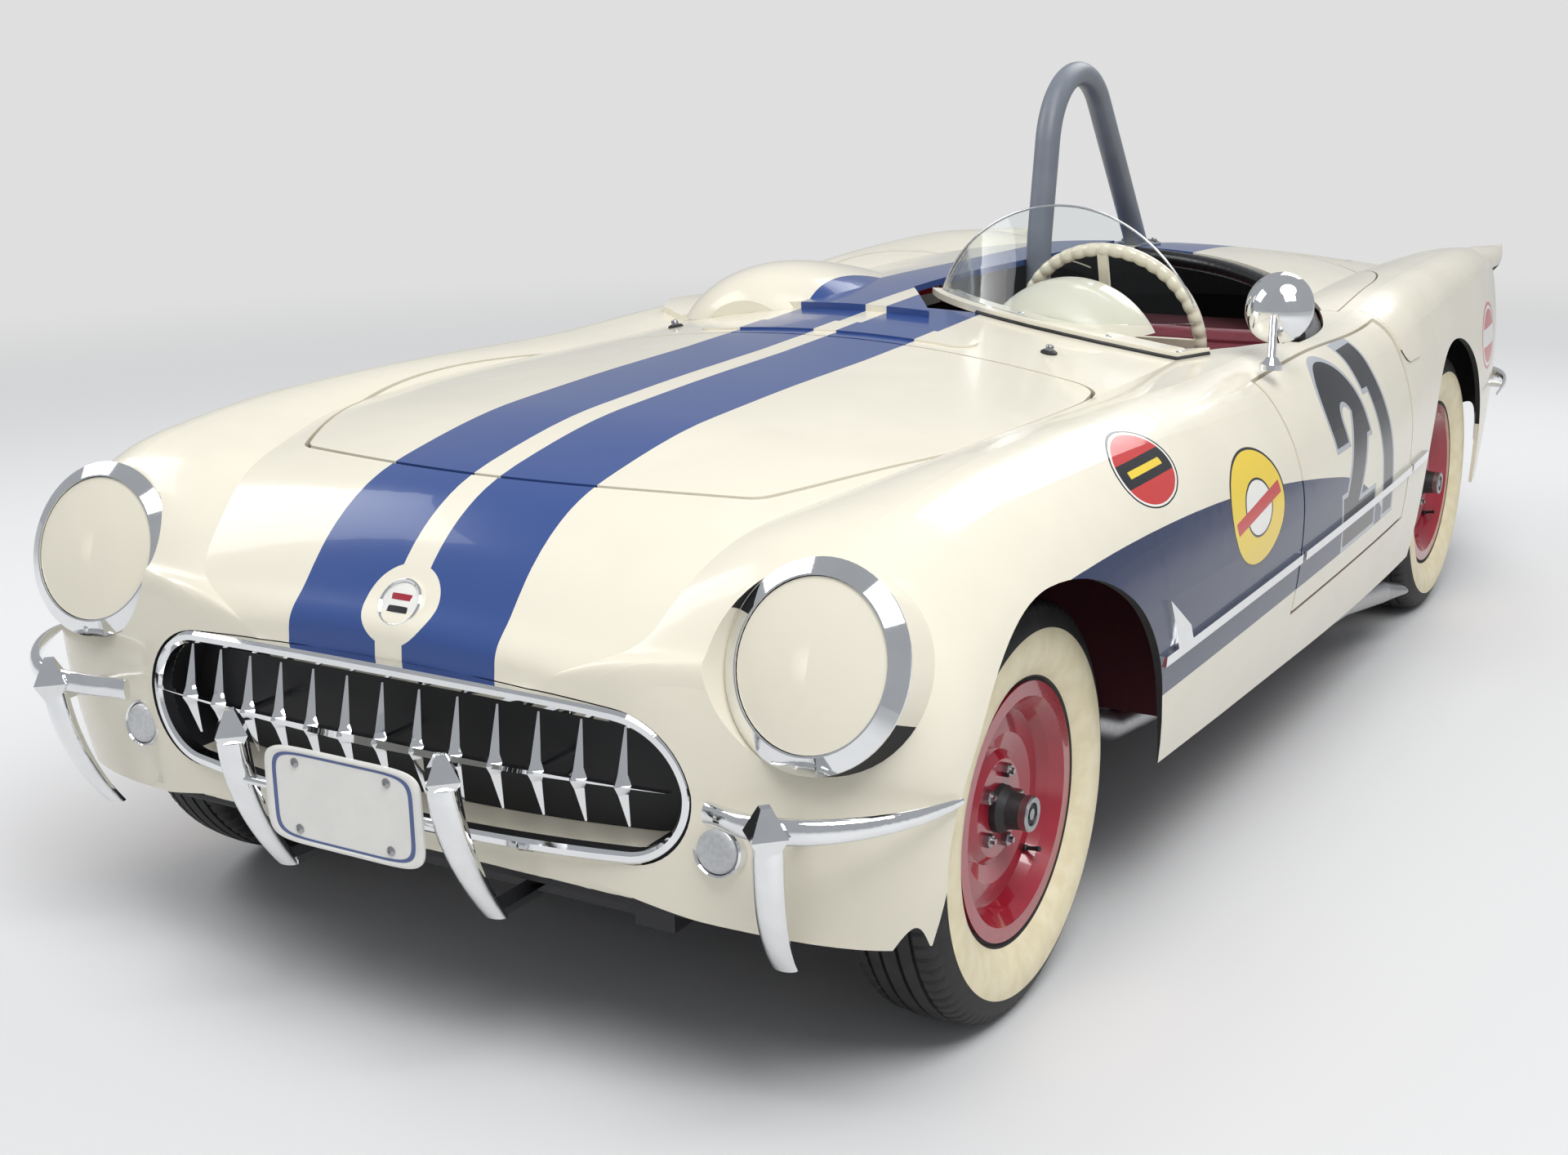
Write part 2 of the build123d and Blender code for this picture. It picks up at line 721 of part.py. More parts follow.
# Raised vent across the cowl
with BuildPart() as cowl_vent:
    with BuildSketch(Plane.XY.offset(600)):
        with Locations((0, at((VENT_FRONT + VENT_REAR) / 2))):
            SlotOverall(2 * VENT_X, VENT_REAR - VENT_FRONT)
    extrude(amount=600)
    add(Pos(0, 0, VENT_PROUD) * crest_form, mode=Mode.INTERSECT)
    add(crest_form, mode=Mode.SUBTRACT)
save(cowl_vent, "cowl_vent")

# Hard cover over the passenger side, with its moulded hump
with BuildPart() as passenger_cover:
    add(Pos(0, 0, COVER_LIFT) * crest_form)
    add(cover_block(0.0), mode=Mode.INTERSECT)
    add(hump(-HUMP_X, COVER_HUMP, HUMP_BASE))
    add(crest_form, mode=Mode.SUBTRACT)
save(passenger_cover, "passenger_cover")

# Base of the racing screen, a raised bow on the cowl's edge
with BuildPart() as windscreen_base:
    add(Pos(0, 0, COVER_LIFT) * crest_form)
    add(crescent_block(0.0), mode=Mode.INTERSECT)
    add(crest_form, mode=Mode.SUBTRACT)
save(windscreen_base, "windscreen_base")

# Dash ring under the cowl's edge and the instrument hump, pierced for the steering column
tilt = radians(COLUMN_TILT)
helm_axis = Vector(0, cos(tilt), sin(tilt))
helm_plane = Plane(origin=(COLUMN_X, at(WHEEL_STATION), HELM_Z), x_dir=(1, 0, 0), z_dir=helm_axis)
with BuildPart() as dash:
    add(cockpit_block(FIT, DASH_LOW, 1300))
    add(cockpit_block(DASH_WALL, DASH_LOW - 1, 1301), mode=Mode.SUBTRACT)
    add(box((-900, 900), (at(1000), at(COWL_END)), (600, 1300)), mode=Mode.INTERSECT)
    add(Pos(0, 0, -DASH_DROP) * (crest_form + box((-840, 840), (at(750), at(2600)), (600, 801))), mode=Mode.INTERSECT)
    add(hump(HUMP_X, DASH_HUMP, HUMP_BASE))
    add(crest_form - cockpit_block(FIT, 600, 1300), mode=Mode.SUBTRACT)
    add(windscreen_base.part, mode=Mode.SUBTRACT)
    add(rod(helm_plane, COLUMN_R + GAP, -COLUMN_LENGTH, 0), mode=Mode.SUBTRACT)
save(dash, "dash")

# Racing screen of clear sheet, bowed in plan and arched seen from the front
with BuildPart() as windscreen:
    for z, bow in ((SCREEN_FOOT_Z, SCREEN_FOOT), (SCREEN_HEAD_Z, SCREEN_HEAD)):
        with BuildSketch(Plane.XY.offset(z)):
            with BuildLine():
                left, middle, right = [(x, at(station)) for x, station in bow]
                ThreePointArc(left, middle, right)
                Line(right, (right[0], right[1] + SCREEN_WALL))
                ThreePointArc(
                    (right[0], right[1] + SCREEN_WALL),
                    (middle[0], middle[1] + SCREEN_WALL),
                    (left[0], left[1] + SCREEN_WALL),
                )
                Line((left[0], left[1] + SCREEN_WALL), left)
            make_face()
    loft(ruled=True)
    with BuildSketch(section_plane(COWL_REAR - 200)):
        with BuildLine():
            low_left = (SCREEN_FOOT[0][0] + 4, SCREEN_FOOT_Z)
            low_right = (SCREEN_FOOT[2][0] - 4, SCREEN_FOOT_Z)
            ThreePointArc(low_left, SCREEN_APEX, low_right)
            Line(low_right, low_left)
        make_face()
    extrude(amount=-500, mode=Mode.INTERSECT)
    add(Pos(0, 0, COVER_LIFT) * crest_form, mode=Mode.SUBTRACT)
    add(dash.part, mode=Mode.SUBTRACT)
save(windscreen, "windscreen")

# Floor with its tunnel, firewall and rear bulkhead with the shelf behind it
floor_top = FLOOR_Z + FLOOR_WALL
fire_rear = at(FIREWALL) + FLOOR_WALL
with BuildPart() as floor_pan:
    add(box((-TUB_X, TUB_X), (fire_rear, at(WHEELHOUSE) - FLOOR_WALL), (FLOOR_Z, floor_top)))
    add(box((-BULKHEAD_X, BULKHEAD_X), (at(WHEELHOUSE) - FLOOR_WALL - 1, at(BULKHEAD) - FLOOR_WALL), (FLOOR_Z, floor_top)))
    add(box((-TUNNEL_X, TUNNEL_X), (fire_rear, at(BULKHEAD) - FLOOR_WALL), (FLOOR_Z, TUNNEL_TOP)))
    hollow = TUNNEL_X - FLOOR_WALL
    inside = box((-hollow, hollow), (at(FIREWALL), at(BULKHEAD)), (FLOOR_Z - 1, TUNNEL_TOP - FLOOR_WALL))
    add(inside, mode=Mode.SUBTRACT)
save(floor_pan, "floor_pan")

with BuildPart() as firewall:
    add(box((-TUB_X, TUB_X), (at(FIREWALL), fire_rear), (FLOOR_Z, FIREWALL_TOP)))
    add(inside, mode=Mode.SUBTRACT)
save(firewall, "firewall")

with BuildPart() as rear_bulkhead:
    house = at(WHEELHOUSE)
    rear = at(BULKHEAD)
    add(box((-BULKHEAD_X, BULKHEAD_X), (rear - FLOOR_WALL, rear), (FLOOR_Z, BULKHEAD_TOP)))
    add(box((-BULKHEAD_X, BULKHEAD_X), (rear - 1, at(SHELF_REAR)), (BULKHEAD_TOP - FLOOR_WALL, BULKHEAD_TOP)))
    for side in sides:
        low, high = sorted((side * (BULKHEAD_X - FLOOR_WALL), side * TUB_X))
        add(box((low, high), (house - FLOOR_WALL, house), (floor_top, BULKHEAD_TOP)))
        low, high = sorted((side * BULKHEAD_X, side * (BULKHEAD_X - FLOOR_WALL)))
        add(box((low, high), (house - 1, rear - FLOOR_WALL + 1), (floor_top, BULKHEAD_TOP)))
    add(inside, mode=Mode.SUBTRACT)
save(rear_bulkhead, "rear_bulkhead")

# Driver's seat
with BuildPart() as driver_seat:
    with BuildSketch(Plane(origin=(SEAT_X - SEAT_WIDTH / 2, 0, 0), x_dir=(0, 1, 0), z_dir=(1, 0, 0))):
        with BuildLine():
            Polyline(
                (at(1420), floor_top),
                (at(1930), floor_top),
                (at(2010), 810),
                (at(1890), 820),
                (at(1830), 450),
                (at(1430), 470),
                close=True,
            )
        make_face()
    extrude(amount=SEAT_WIDTH)
    fillet(driver_seat.edges().filter_by(Axis.X), radius=24)
save(driver_seat, "driver_seat")

# Padded edge round the driver's side of the cockpit
with BuildPart() as cockpit_pad:
    add(cockpit_block(FIT, 600, 1300))
    add(cockpit_block(PAD_WIDTH, 599, 1301), mode=Mode.SUBTRACT)
    add(box((COVER_EDGE, 1000), (at(COCKPIT_MID), at(2500)), (600, 1200)), mode=Mode.INTERSECT)
    add(crest_form, mode=Mode.INTERSECT)
    add(Pos(0, 0, -PAD_DEPTH) * crest_form, mode=Mode.SUBTRACT)
save(cockpit_pad, "cockpit_pad")

# Grille: ring with a bevelled front, dark backing, and the teeth on their bar
with BuildPart() as grille_surround:
    add(grille_block(0.0))
    add(grille_block(GRILLE_RIM), mode=Mode.SUBTRACT)
    add(grille_slab(0.0, GRILLE_DEPTH), mode=Mode.INTERSECT)
    front = grille_surround.faces().sort_by(Axis.Y)[0]
    chamfer(front.edges(), length=GRILLE_BEVEL)
save(grille_surround, "grille_surround")

with BuildPart() as grille_backing:
    add(grille_block(GRILLE_RIM + FIT))
    add(grille_slab(BACKING_DEPTH, BACKING_DEPTH + 6), mode=Mode.INTERSECT)
save(grille_backing, "grille_backing")


def grille_tooth(x):
    """Tooth with a sharp ridge in front, widest at the bar and drawn out to both tips."""
    share = (x / BAR_END_X) ** 2
    high = TOOTH_TOP - TOOTH_DROOP * share
    low = TOOTH_LOW + TOOTH_DROOP * share
    centre = at(nose_station(x)) - TOOTH_PROUD + TOOTH_DEPTH
    with BuildPart() as tooth:
        for z, half, depth, back in (
            (low, TOOTH_TIP, TOOTH_TIP, TOOTH_SETBACK),
            (TOOTH_Z - TOOTH_RISE, TOOTH_R / 2, TOOTH_DEPTH * 0.7, TOOTH_SETBACK / 4),
            (TOOTH_Z, TOOTH_R, TOOTH_DEPTH, 0),
            (TOOTH_Z + TOOTH_RISE, TOOTH_R / 2, TOOTH_DEPTH * 0.7, TOOTH_SETBACK / 4),
            (high, TOOTH_TIP, TOOTH_TIP, TOOTH_SETBACK),
        ):
            y = centre + back
            with BuildSketch(Plane.XY.offset(z)):
                with BuildLine():
                    Polyline((x - half, y), (x, y - depth), (x + half, y), (x, y + depth), close=True)
                make_face()
        loft(ruled=True)
    return tooth.part


with BuildPart() as grille_teeth:
    with BuildSketch(section_plane(-720)):
        with BuildLine():
            Polyline((-BAR_END_X, TOOTH_Z), (0, TOOTH_Z + BAR_R), (BAR_END_X, TOOTH_Z), (0, TOOTH_Z - BAR_R), close=True)
        make_face()
    extrude(amount=-360)
    add(grille_slab(-BAR_PROUD, BAR_DEPTH - BAR_PROUD), mode=Mode.INTERSECT)
    add([grille_tooth((index - (TOOTH_COUNT - 1) / 2) * TOOTH_PITCH) for index in range(TOOTH_COUNT)])
    for index in (-STRUT_STEP, 0, STRUT_STEP):
        x = index * TOOTH_PITCH
        place = Plane(origin=(x, at(nose_station(x)), TOOTH_Z), x_dir=(1, 0, 0), z_dir=(0, 1, 0))
        add(rod(place, STRUT_R, 0, BACKING_DEPTH + 3))
    add(grille_backing.part, mode=Mode.SUBTRACT)
save(grille_teeth, "grille_teeth")


def lamp_turned(profile, side):
    """Revolve a closed profile of radius and height about one headlamp's axis."""
    with BuildPart() as piece:
        with BuildSketch(Plane.XZ):
            with BuildLine():
                Polyline(*profile, close=True)
            make_face()
        revolve(axis=Axis.Z)
    return lamp_plane(side, 0) * piece.part


# Blanked headlamps: cone-shaped bezel ring and a shallow domed cover
with BuildPart() as headlamp_bezels:
    profile = [
        (BEZEL_INNER_R, 0),
        (LAMP_R, 0),
        (LAMP_R, BEZEL_LIP),
        (BEZEL_INNER_R + BEZEL_LIP, BEZEL_DEPTH),
        (BEZEL_INNER_R, BEZEL_DEPTH),
    ]
    add([lamp_turned(profile, side) for side in sides])
save(headlamp_bezels, "headlamp_bezels")

with BuildPart() as headlamp_covers:
    radius = BEZEL_INNER_R - FIT
    edge = BEZEL_DEPTH - BEZEL_LIP
    ball = (radius * radius + COVER_DOME * COVER_DOME) / (2 * COVER_DOME)
    for side in sides:
        place = lamp_plane(side, ball - edge - COVER_DOME)
        domed = rod(lamp_plane(side, 0), radius, -BUCKET_DEPTH, edge + COVER_DOME)
        add(domed & place * Sphere(ball, mode=Mode.PRIVATE))
save(headlamp_covers, "headlamp_covers")

# Parking lamps
with BuildPart() as parking_lamps:
    for side in sides:
        place = Plane(origin=(side * PARK_X, at(PARK_STATION), PARK_Z), z_dir=(0, -1, 0.15))
        add(rod(place, PARK_R, -60, 0))
    fillet(parking_lamps.edges().sort_by(Axis.Y)[:2], radius=PARK_R / 3)
    add(nose_form, mode=Mode.SUBTRACT)
save(parking_lamps, "parking_lamps")


def blade(side, rows):
    """Bumper blade lofted from ellipses set across its path round the corner of the body."""
    with BuildPart() as form:
        for x, station, z, heading, half, height in rows:
            turn = radians(heading)
            place = Plane(
                origin=(side * x, at(station), z),
                x_dir=(-side * sin(turn), cos(turn), 0),
                z_dir=(cos(turn), side * sin(turn), 0),
            )
            with BuildSketch(place):
                Ellipse(half, height)
        loft()
    return form.part


def tusk(side, rows):
    """Upright bumper guard lofted from level ellipses of z, x, station, half-width and half-depth."""
    with BuildPart() as form:
        for z, x, station, half, depth in rows:
            with BuildSketch(Plane(origin=(side * x, at(station), z))):
                Ellipse(half, depth)
        loft()
    return form.part


def boss(side, place):
    """Faceted boss at the head of a guard, pointed in front and on top."""
    x, station, z, radius = place
    with BuildPart() as form:
        for height, share in ((-radius * 1.1, 0.3), (0, 1.0), (radius * 1.1, 0.3)):
            with BuildSketch(Plane(origin=(side * x, at(station), z + height))):
                RegularPolygon(radius * share, 4)
        loft(ruled=True)
    return form.part


def strut(first, last, radius):
    """Round bar between two points."""
    start = Vector(*first)
    way = Vector(*last) - start
    return rod(Plane(origin=start, z_dir=way), radius, 0, way.length)


with BuildPart() as front_bumpers:
    for side in sides:
        x, station, z, radius = FRONT_BOSS
        add(blade(side, FRONT_BLADE))
        add(tusk(side, FRONT_HORN))
        add(boss(side, FRONT_BOSS))
        add(strut((side * x, at(station), z - 30), (side * x, at(station + 160), z - 30), BRACKET_R))
    add(nose_form, mode=Mode.SUBTRACT)
save(front_bumpers, "front_bumpers")

with BuildPart() as centre_guards:
    for side in sides:
        x = side * CENTRE_BOSS[0]
        low = CENTRE_TUSK[0]
        add(tusk(side, CENTRE_TUSK))
        add(boss(side, CENTRE_BOSS))
        add(box((x - 18, x + 18), (at(low[2]), at(CROSSMEMBERS[0][0] - CROSS_HALF)), (low[0], low[0] + 12)))
    add(strut((-CENTRE_BOSS[0], at(PLATE_STATION) + 3 + PLATE_BAR_R, PLATE_BAR_Z), (CENTRE_BOSS[0], at(PLATE_STATION) + 3 + PLATE_BAR_R, PLATE_BAR_Z), PLATE_BAR_R))
save(centre_guards, "centre_guards")

with BuildPart() as rear_bumpers:
    for side in sides:
        add(tusk(side, REAR_HORN))
        add(strut((side * 640, at(3530), 470), (side * 640, at(3400), 470), BRACKET_R))
        add(strut((side * 866, at(3200), 504), (side * 760, at(3200), 504), BRACKET_R))
    add(tail_form, mode=Mode.SUBTRACT)
    add([blade(side, REAR_BLADE) for side in sides])
save(rear_bumpers, "rear_bumpers")

with BuildPart() as plate:
    front = at(PLATE_STATION)
    add(box((PLATE_X, PLATE_X + PLATE_WIDTH), (front, front + 3), (PLATE_LOW, PLATE_LOW + PLATE_HEIGHT)))
save(plate, "plate")

with BuildPart() as tail_lamps:
    for side in sides:
        place = Plane(origin=(side * TAIL_X, at(TAIL_STATION), TAIL_Z), z_dir=(0, 1, 0))
        add(rod(place, TAIL_R, -150, 0))
    fillet(tail_lamps.edges().sort_by(Axis.Y)[-2:], radius=TAIL_R / 3)
    add(tail_form, mode=Mode.SUBTRACT)
save(tail_lamps, "tail_lamps")

# Steering wheel and column
with BuildPart() as steering_wheel:
    with BuildSketch(Plane.XZ):
        with Locations((HELM_R, 0)):
            Circle(HELM_RIM_R)
    revolve(axis=Axis.Z)
    with BuildSketch(Plane.XY.offset(-14)):
        Circle(HUB_R)
        for angle in (0, 180, 270):
            with Locations(Rot(0, 0, angle)):
                with Locations((HELM_R / 2, 0)):
                    Rectangle(HELM_R - 10, 22)
    extrude(amount=8)
    with Locations((0, 0, -14)):
        Cylinder(HUB_R, 34, align=(Align.CENTER, Align.CENTER, Align.MIN))
steering_wheel.part = helm_plane * steering_wheel.part
save(steering_wheel, "steering_wheel")

with BuildPart() as steering_column:
    add(rod(helm_plane, COLUMN_R, -14 - FIT - COLUMN_LENGTH, -14 - FIT))
    add(box((-1000, 1000), (at(-600), fire_rear), (0, 1200)), mode=Mode.SUBTRACT)
save(steering_column, "steering_column")

# Chassis rails, with their crossmembers and the hangers of the rear springs
with BuildPart() as frame:
    for side in sides:
        with BuildSketch(Plane(origin=(side * RAIL_X - RAIL_WIDTH / 2, 0, 0), x_dir=(0, 1, 0), z_dir=(1, 0, 0))):
            with BuildLine():
                lower = [(at(station), z) for station, z in RAIL_LINE]
                upper = [(y, z + RAIL_HEIGHT) for y, z in reversed(lower)]
                Polyline(*lower, *upper, close=True)
            make_face()
        extrude(amount=RAIL_WIDTH)
    inside_x = RAIL_X - RAIL_WIDTH / 2 + FIT
    for station, z in CROSSMEMBERS:
        low = z + CROSS_INSET
        add(box((-inside_x, inside_x), (at(station - CROSS_HALF), at(station + CROSS_HALF)), (low, low + RAIL_HEIGHT - 2 * CROSS_INSET)))
    spring_low = WHEEL_Z - AXLE_TUBE_R - SPRING_DEPTH
    spring_end = spring_low + SPRING_RISE
    for side in sides:
        low, high = sorted((side * (RAIL_X + RAIL_WIDTH / 2 - FIT), side * (SPRING_X + SPRING_WIDTH / 2)))
        front = at(WHEELBASE - SPRING_HALF)
        rear = at(WHEELBASE + SPRING_HALF)
        add(box((low, high), (front - EYE_HALF, front + EYE_HALF), (spring_end - 130, spring_end)))
        add(box((low, high), (rear - EYE_HALF, rear + EYE_HALF), (spring_end + SPRING_LEAF, spring_end + SPRING_LEAF + 66)))
save(frame, "frame")

# Front crossmember with the towers that carry the upper arms
with BuildPart() as front_crossmember:
    reach = RAIL_X + RAIL_WIDTH / 2
    rail_low = RAIL_LINE[0][1]
    add(box((-reach, reach), (at(-TOWER_HALF), at(TOWER_HALF)), (TOWER_LOW, rail_low)))
    for side in sides:
        low, high = sorted((side * (reach - RAIL_WIDTH), side * reach))
        top = rail_low + RAIL_HEIGHT
        add(box((low, high), (at(-TOWER_HALF * 0.7), at(TOWER_HALF * 0.7)), (top, ARM_HIGH_Z + 10)))
save(front_crossmember, "front_crossmember")

with BuildPart() as suspension_arms:
    for side in sides:
        inside_x = RAIL_X + RAIL_WIDTH / 2
        for z, spread in ((ARM_LOW_Z, TOWER_HALF), (ARM_HIGH_Z, TOWER_HALF * 0.7)):
            with BuildSketch(Plane.XY.offset(z - 10)):
                with BuildLine():
                    Polyline(
                        (side * inside_x, at(-spread)),
                        (side * KINGPIN_X, at(-26)),
                        (side * (KINGPIN_X + 24), at(0)),
                        (side * KINGPIN_X, at(26)),
                        (side * inside_x, at(spread)),
                        close=True,
                    )
                make_face()
            extrude(amount=20)
save(suspension_arms, "suspension_arms")

for side, name in ((1, "left"), (-1, "right")):
    with BuildPart() as knuckle:
        with Locations((side * KINGPIN_X, at(0), (ARM_LOW_Z + ARM_HIGH_Z) / 2)):
            Cylinder(22, ARM_HIGH_Z - ARM_LOW_Z - 24)
        place = Plane(origin=(side * KINGPIN_X, at(0), WHEEL_Z), z_dir=(side, 0, 0))
        length = FRONT_TRACK / 2 - KINGPIN_X + 6
        add(rod(place, SPINDLE_R, 0, length))
        add(rod(place, DRUM_R, 40, 46))
    save(knuckle, f"knuckle_{name}")

with BuildPart() as rear_axle:
    with BuildSketch(section_plane(WHEELBASE)):
        with BuildLine():
            stub = REAR_TRACK / 2 + 6
            plate_x = REAR_TRACK / 2 - 66
            low = WHEEL_Z
            tube = WHEEL_Z + AXLE_TUBE_R
            drum = WHEEL_Z + DRUM_R
            pin = WHEEL_Z + SPINDLE_R
            Polyline((-DIFF_HALF, tube), (6 - plate_x, tube), (6 - plate_x, drum), (-plate_x, drum))
            Polyline((-plate_x, drum), (-plate_x, pin), (-stub, pin), (-stub, low), (stub, low))
            Polyline((stub, low), (stub, pin), (plate_x, pin), (plate_x, drum))
            Polyline((plate_x, drum), (plate_x - 6, drum), (plate_x - 6, tube), (DIFF_HALF, tube))
            ThreePointArc((DIFF_HALF, tube), (0, WHEEL_Z + DIFF_R), (-DIFF_HALF, tube))
        make_face()
    revolve(axis=Axis((0, at(WHEELBASE), WHEEL_Z), (1, 0, 0)))
save(rear_axle, "rear_axle")

with BuildPart() as leaf_springs:
    for side in sides:
        with BuildSketch(Plane(origin=(side * SPRING_X - SPRING_WIDTH / 2, 0, 0), x_dir=(0, 1, 0), z_dir=(1, 0, 0))):
            with BuildLine():
                middle = at(WHEELBASE)
                first = middle - SPRING_HALF - EYE_HALF
                last = middle + SPRING_HALF + EYE_HALF
                top = spring_end + SPRING_LEAF
                ThreePointArc((first, spring_end), (middle, spring_low), (last, spring_end))
                Line((last, spring_end), (last, top))
                ThreePointArc((last, top), (middle, spring_low + SPRING_DEPTH), (first, top))
                Line((first, top), (first, spring_end))
            make_face()
        extrude(amount=SPRING_WIDTH)
    add([frame.part, rear_axle.part], mode=Mode.SUBTRACT)
save(leaf_springs, "leaf_springs")

# Engine and gearbox as one plain block on the front crossmember
with BuildPart() as engine_block:
    low = RAIL_LINE[0][1]
    rear = at(FIREWALL - 20)
    add(box((-ENGINE_WIDTH / 2, ENGINE_WIDTH / 2), (rear - ENGINE_LENGTH, rear), (low, low + ENGINE_HEIGHT)))
save(engine_block, "engine_block")

# Side pipe, flattened at its end
with BuildPart() as exhaust:
    with BuildLine() as route:
        FilletPolyline(*[(x, at(a), z) for x, a, z in PIPE_ROUTE], radius=PIPE_BEND)
    with BuildSketch(Plane(origin=route.line @ 0, z_dir=route.line % 0)):
        Circle(PIPE_R)
    sweep(path=route.line)
    way = route.line % 1
    tail = Plane(origin=route.line @ 1, x_dir=(1, 0, 0), z_dir=way)
    with BuildSketch(tail):
        Circle(PIPE_R)
    with BuildSketch(tail.offset(TIP_LENGTH)):
        Ellipse(*TIP_HALF)
    loft()
    add(engine_block.part, mode=Mode.SUBTRACT)
save(exhaust, "exhaust")

# Roll hoop, in the plane of the car's centre, from the tunnel to the deck
with BuildPart() as roll_hoop:
    with BuildLine() as route:
        FilletPolyline(*[(0, at(a), z) for a, z in HOOP_ROUTE], radius=HOOP_BENDS)
    with BuildSketch(Plane(origin=route.line @ 0, z_dir=route.line % 0)):
        Circle(HOOP_R)
    sweep(path=route.line)
    add(crest_form - cockpit, mode=Mode.SUBTRACT)
    add(floor_pan.part, mode=Mode.SUBTRACT)
save(roll_hoop, "roll_hoop")

# Door mirror: leaning stem and a domed head
with BuildPart() as mirror:
    foot, neck, head = [(x, at(station), z) for x, station, z in (MIRROR_FOOT, MIRROR_NECK, MIRROR_HEAD)]
    way = Vector(*MIRROR_FACING).normalized()
    rim = Plane(origin=Vector(*head) + way * 8, z_dir=way)
    ball = (MIRROR_R * MIRROR_R + MIRROR_DOME * MIRROR_DOME) / (2 * MIRROR_DOME)
    add(strut(foot, neck, STEM_R))
    add(strut(neck, head, STEM_R))
    add(rod(rim, MIRROR_R, -8, 0))
    cap = rod(rim, MIRROR_R, 0, MIRROR_DOME) & rim.offset(MIRROR_DOME - ball) * Sphere(ball, mode=Mode.PRIVATE)
    add(cap)
    add(crest_form, mode=Mode.SUBTRACT)
save(mirror, "mirror")

# Fuel flap on the left rear fender, with rounded lower corners
with BuildPart() as fuel_door:
    with BuildSketch(Plane(origin=(700, 0, 0), x_dir=(0, 1, 0), z_dir=(1, 0, 0))):
        with Locations((at(FUEL_STATION), FUEL_Z)):
            RectangleRounded(FUEL_LENGTH, FUEL_HEIGHT, FUEL_CORNER)
    extrude(amount=300)
    add(Pos(FUEL_PROUD, 0, 0) * flanks[1], mode=Mode.INTERSECT)
    add(flanks[1], mode=Mode.SUBTRACT)
save(fuel_door, "fuel_door")

# Chrome spears along the sides, one length on each panel that they cross
for name, first, last, here in (
    ("spears_front", SPEAR_FRONT, DOOR_FRONT - GAP, (-1, 1)),
    ("spear_door_left", DOOR_FRONT + GAP * 2, DOOR_REAR - GAP * 2, (1,)),
    ("spear_door_right", DOOR_FRONT + GAP * 2, DOOR_REAR - GAP * 2, (-1,)),
    ("spears_rear", DOOR_REAR + GAP, SPEAR_REAR, (-1, 1)),
):
    with BuildPart() as spear:
        for side in here:
            low, high = sorted((side * 800, side * 1000))
            add(box((low, high), (at(first), at(last)), (SPEAR_Z - SPEAR_HALF, SPEAR_Z + SPEAR_HALF)))
        if name == "spears_front":
            with BuildSketch(Plane(origin=(-1000, 0, 0), x_dir=(0, 1, 0), z_dir=(1, 0, 0))):
                with BuildLine():
                    Polyline(*[(at(station), z) for station, z in ORNAMENT], close=True)
                make_face()
            extrude(amount=2000)
        add([Pos(side * SPEAR_PROUD, 0, 0) * flanks[side] for side in here], mode=Mode.INTERSECT)
        add([flanks[side] for side in here], mode=Mode.SUBTRACT)
    save(spear, name)


def turned(profile, side, x, station):
    """Revolve a profile of axial offset and radius about a wheel's axle."""
    centre = (side * x, at(station), WHEEL_Z)
    with BuildPart() as piece:
        with BuildSketch(Plane(origin=centre, x_dir=(side, 0, 0), z_dir=(0, -side, 0))):
            with BuildLine():
                Polyline(*profile, close=True)
            make_face()
        revolve(axis=Axis(centre, (1, 0, 0)))
    return piece


def tyre(side, x, station):
    """Bias-ply tyre: bulged sidewalls, rounded shoulders and a slightly crowned tread."""
    centre = (side * x, at(station), WHEEL_Z)
    half = TYRE_WIDTH / 2
    bead = RIM_HALF - 6
    with BuildPart() as piece:
        with BuildSketch(Plane(origin=centre, x_dir=(side, 0, 0), z_dir=(0, -side, 0))):
            with BuildLine():
                Line((-bead, BEAD_R + FIT), (bead, BEAD_R + FIT))
                for end in sides:
                    Line((end * bead, BEAD_R + FIT), (end * bead, FLANGE_R + 3))
                    wall = ThreePointArc((end * bead, FLANGE_R + 3), (end * half, 264), (end * (half - 14), TYRE_R - 22))
                    TangentArc(wall @ 1, (end * TREAD_HALF, TYRE_R - TREAD_DROP), tangent=wall % 1)
                ThreePointArc((-TREAD_HALF, TYRE_R - TREAD_DROP), (0, TYRE_R), (TREAD_HALF, TYRE_R - TREAD_DROP))
            make_face()
        revolve(axis=Axis(centre, (1, 0, 0)))
    return piece


RIM_PROFILE = [
    (-RIM_HALF, FLANGE_R),
    (-RIM_HALF + 5, FLANGE_R),
    (-RIM_HALF + 5, BEAD_R),
    (RIM_HALF - 5, BEAD_R),
    (RIM_HALF - 5, FLANGE_R),
    (RIM_HALF, FLANGE_R),
    (RIM_HALF, BEAD_R - 8),
    (42, 168),
    (24, 158),
    (30, 120),
    (20, 92),
    (30, 78),
    (30, HUB_R + 1),
    (22, HUB_R + 1),
    (22, 76),
    (12, 92),
    (22, 120),
    (14, 160),
    (14, 168),
    (-RIM_HALF, BEAD_R - 10),
]
DRUM_PROFILE = [
    (13 - DRUM_DEPTH, DRUM_R),
    (8, DRUM_R),
    (12, DRUM_R - 10),
    (12, 90),
    (20, 76),
    (20, HUB_R),
    (40, HUB_R),
    (52, CAP_R),
    (84, CAP_R - 4),
    (84, 0),
    (14, 0),
    (14, HUB_BORE_R),
    (-20, HUB_BORE_R),
    (-20, 60),
    (2, 60),
    (2, DRUM_R - 8),
    (13 - DRUM_DEPTH, DRUM_R - 8),
]
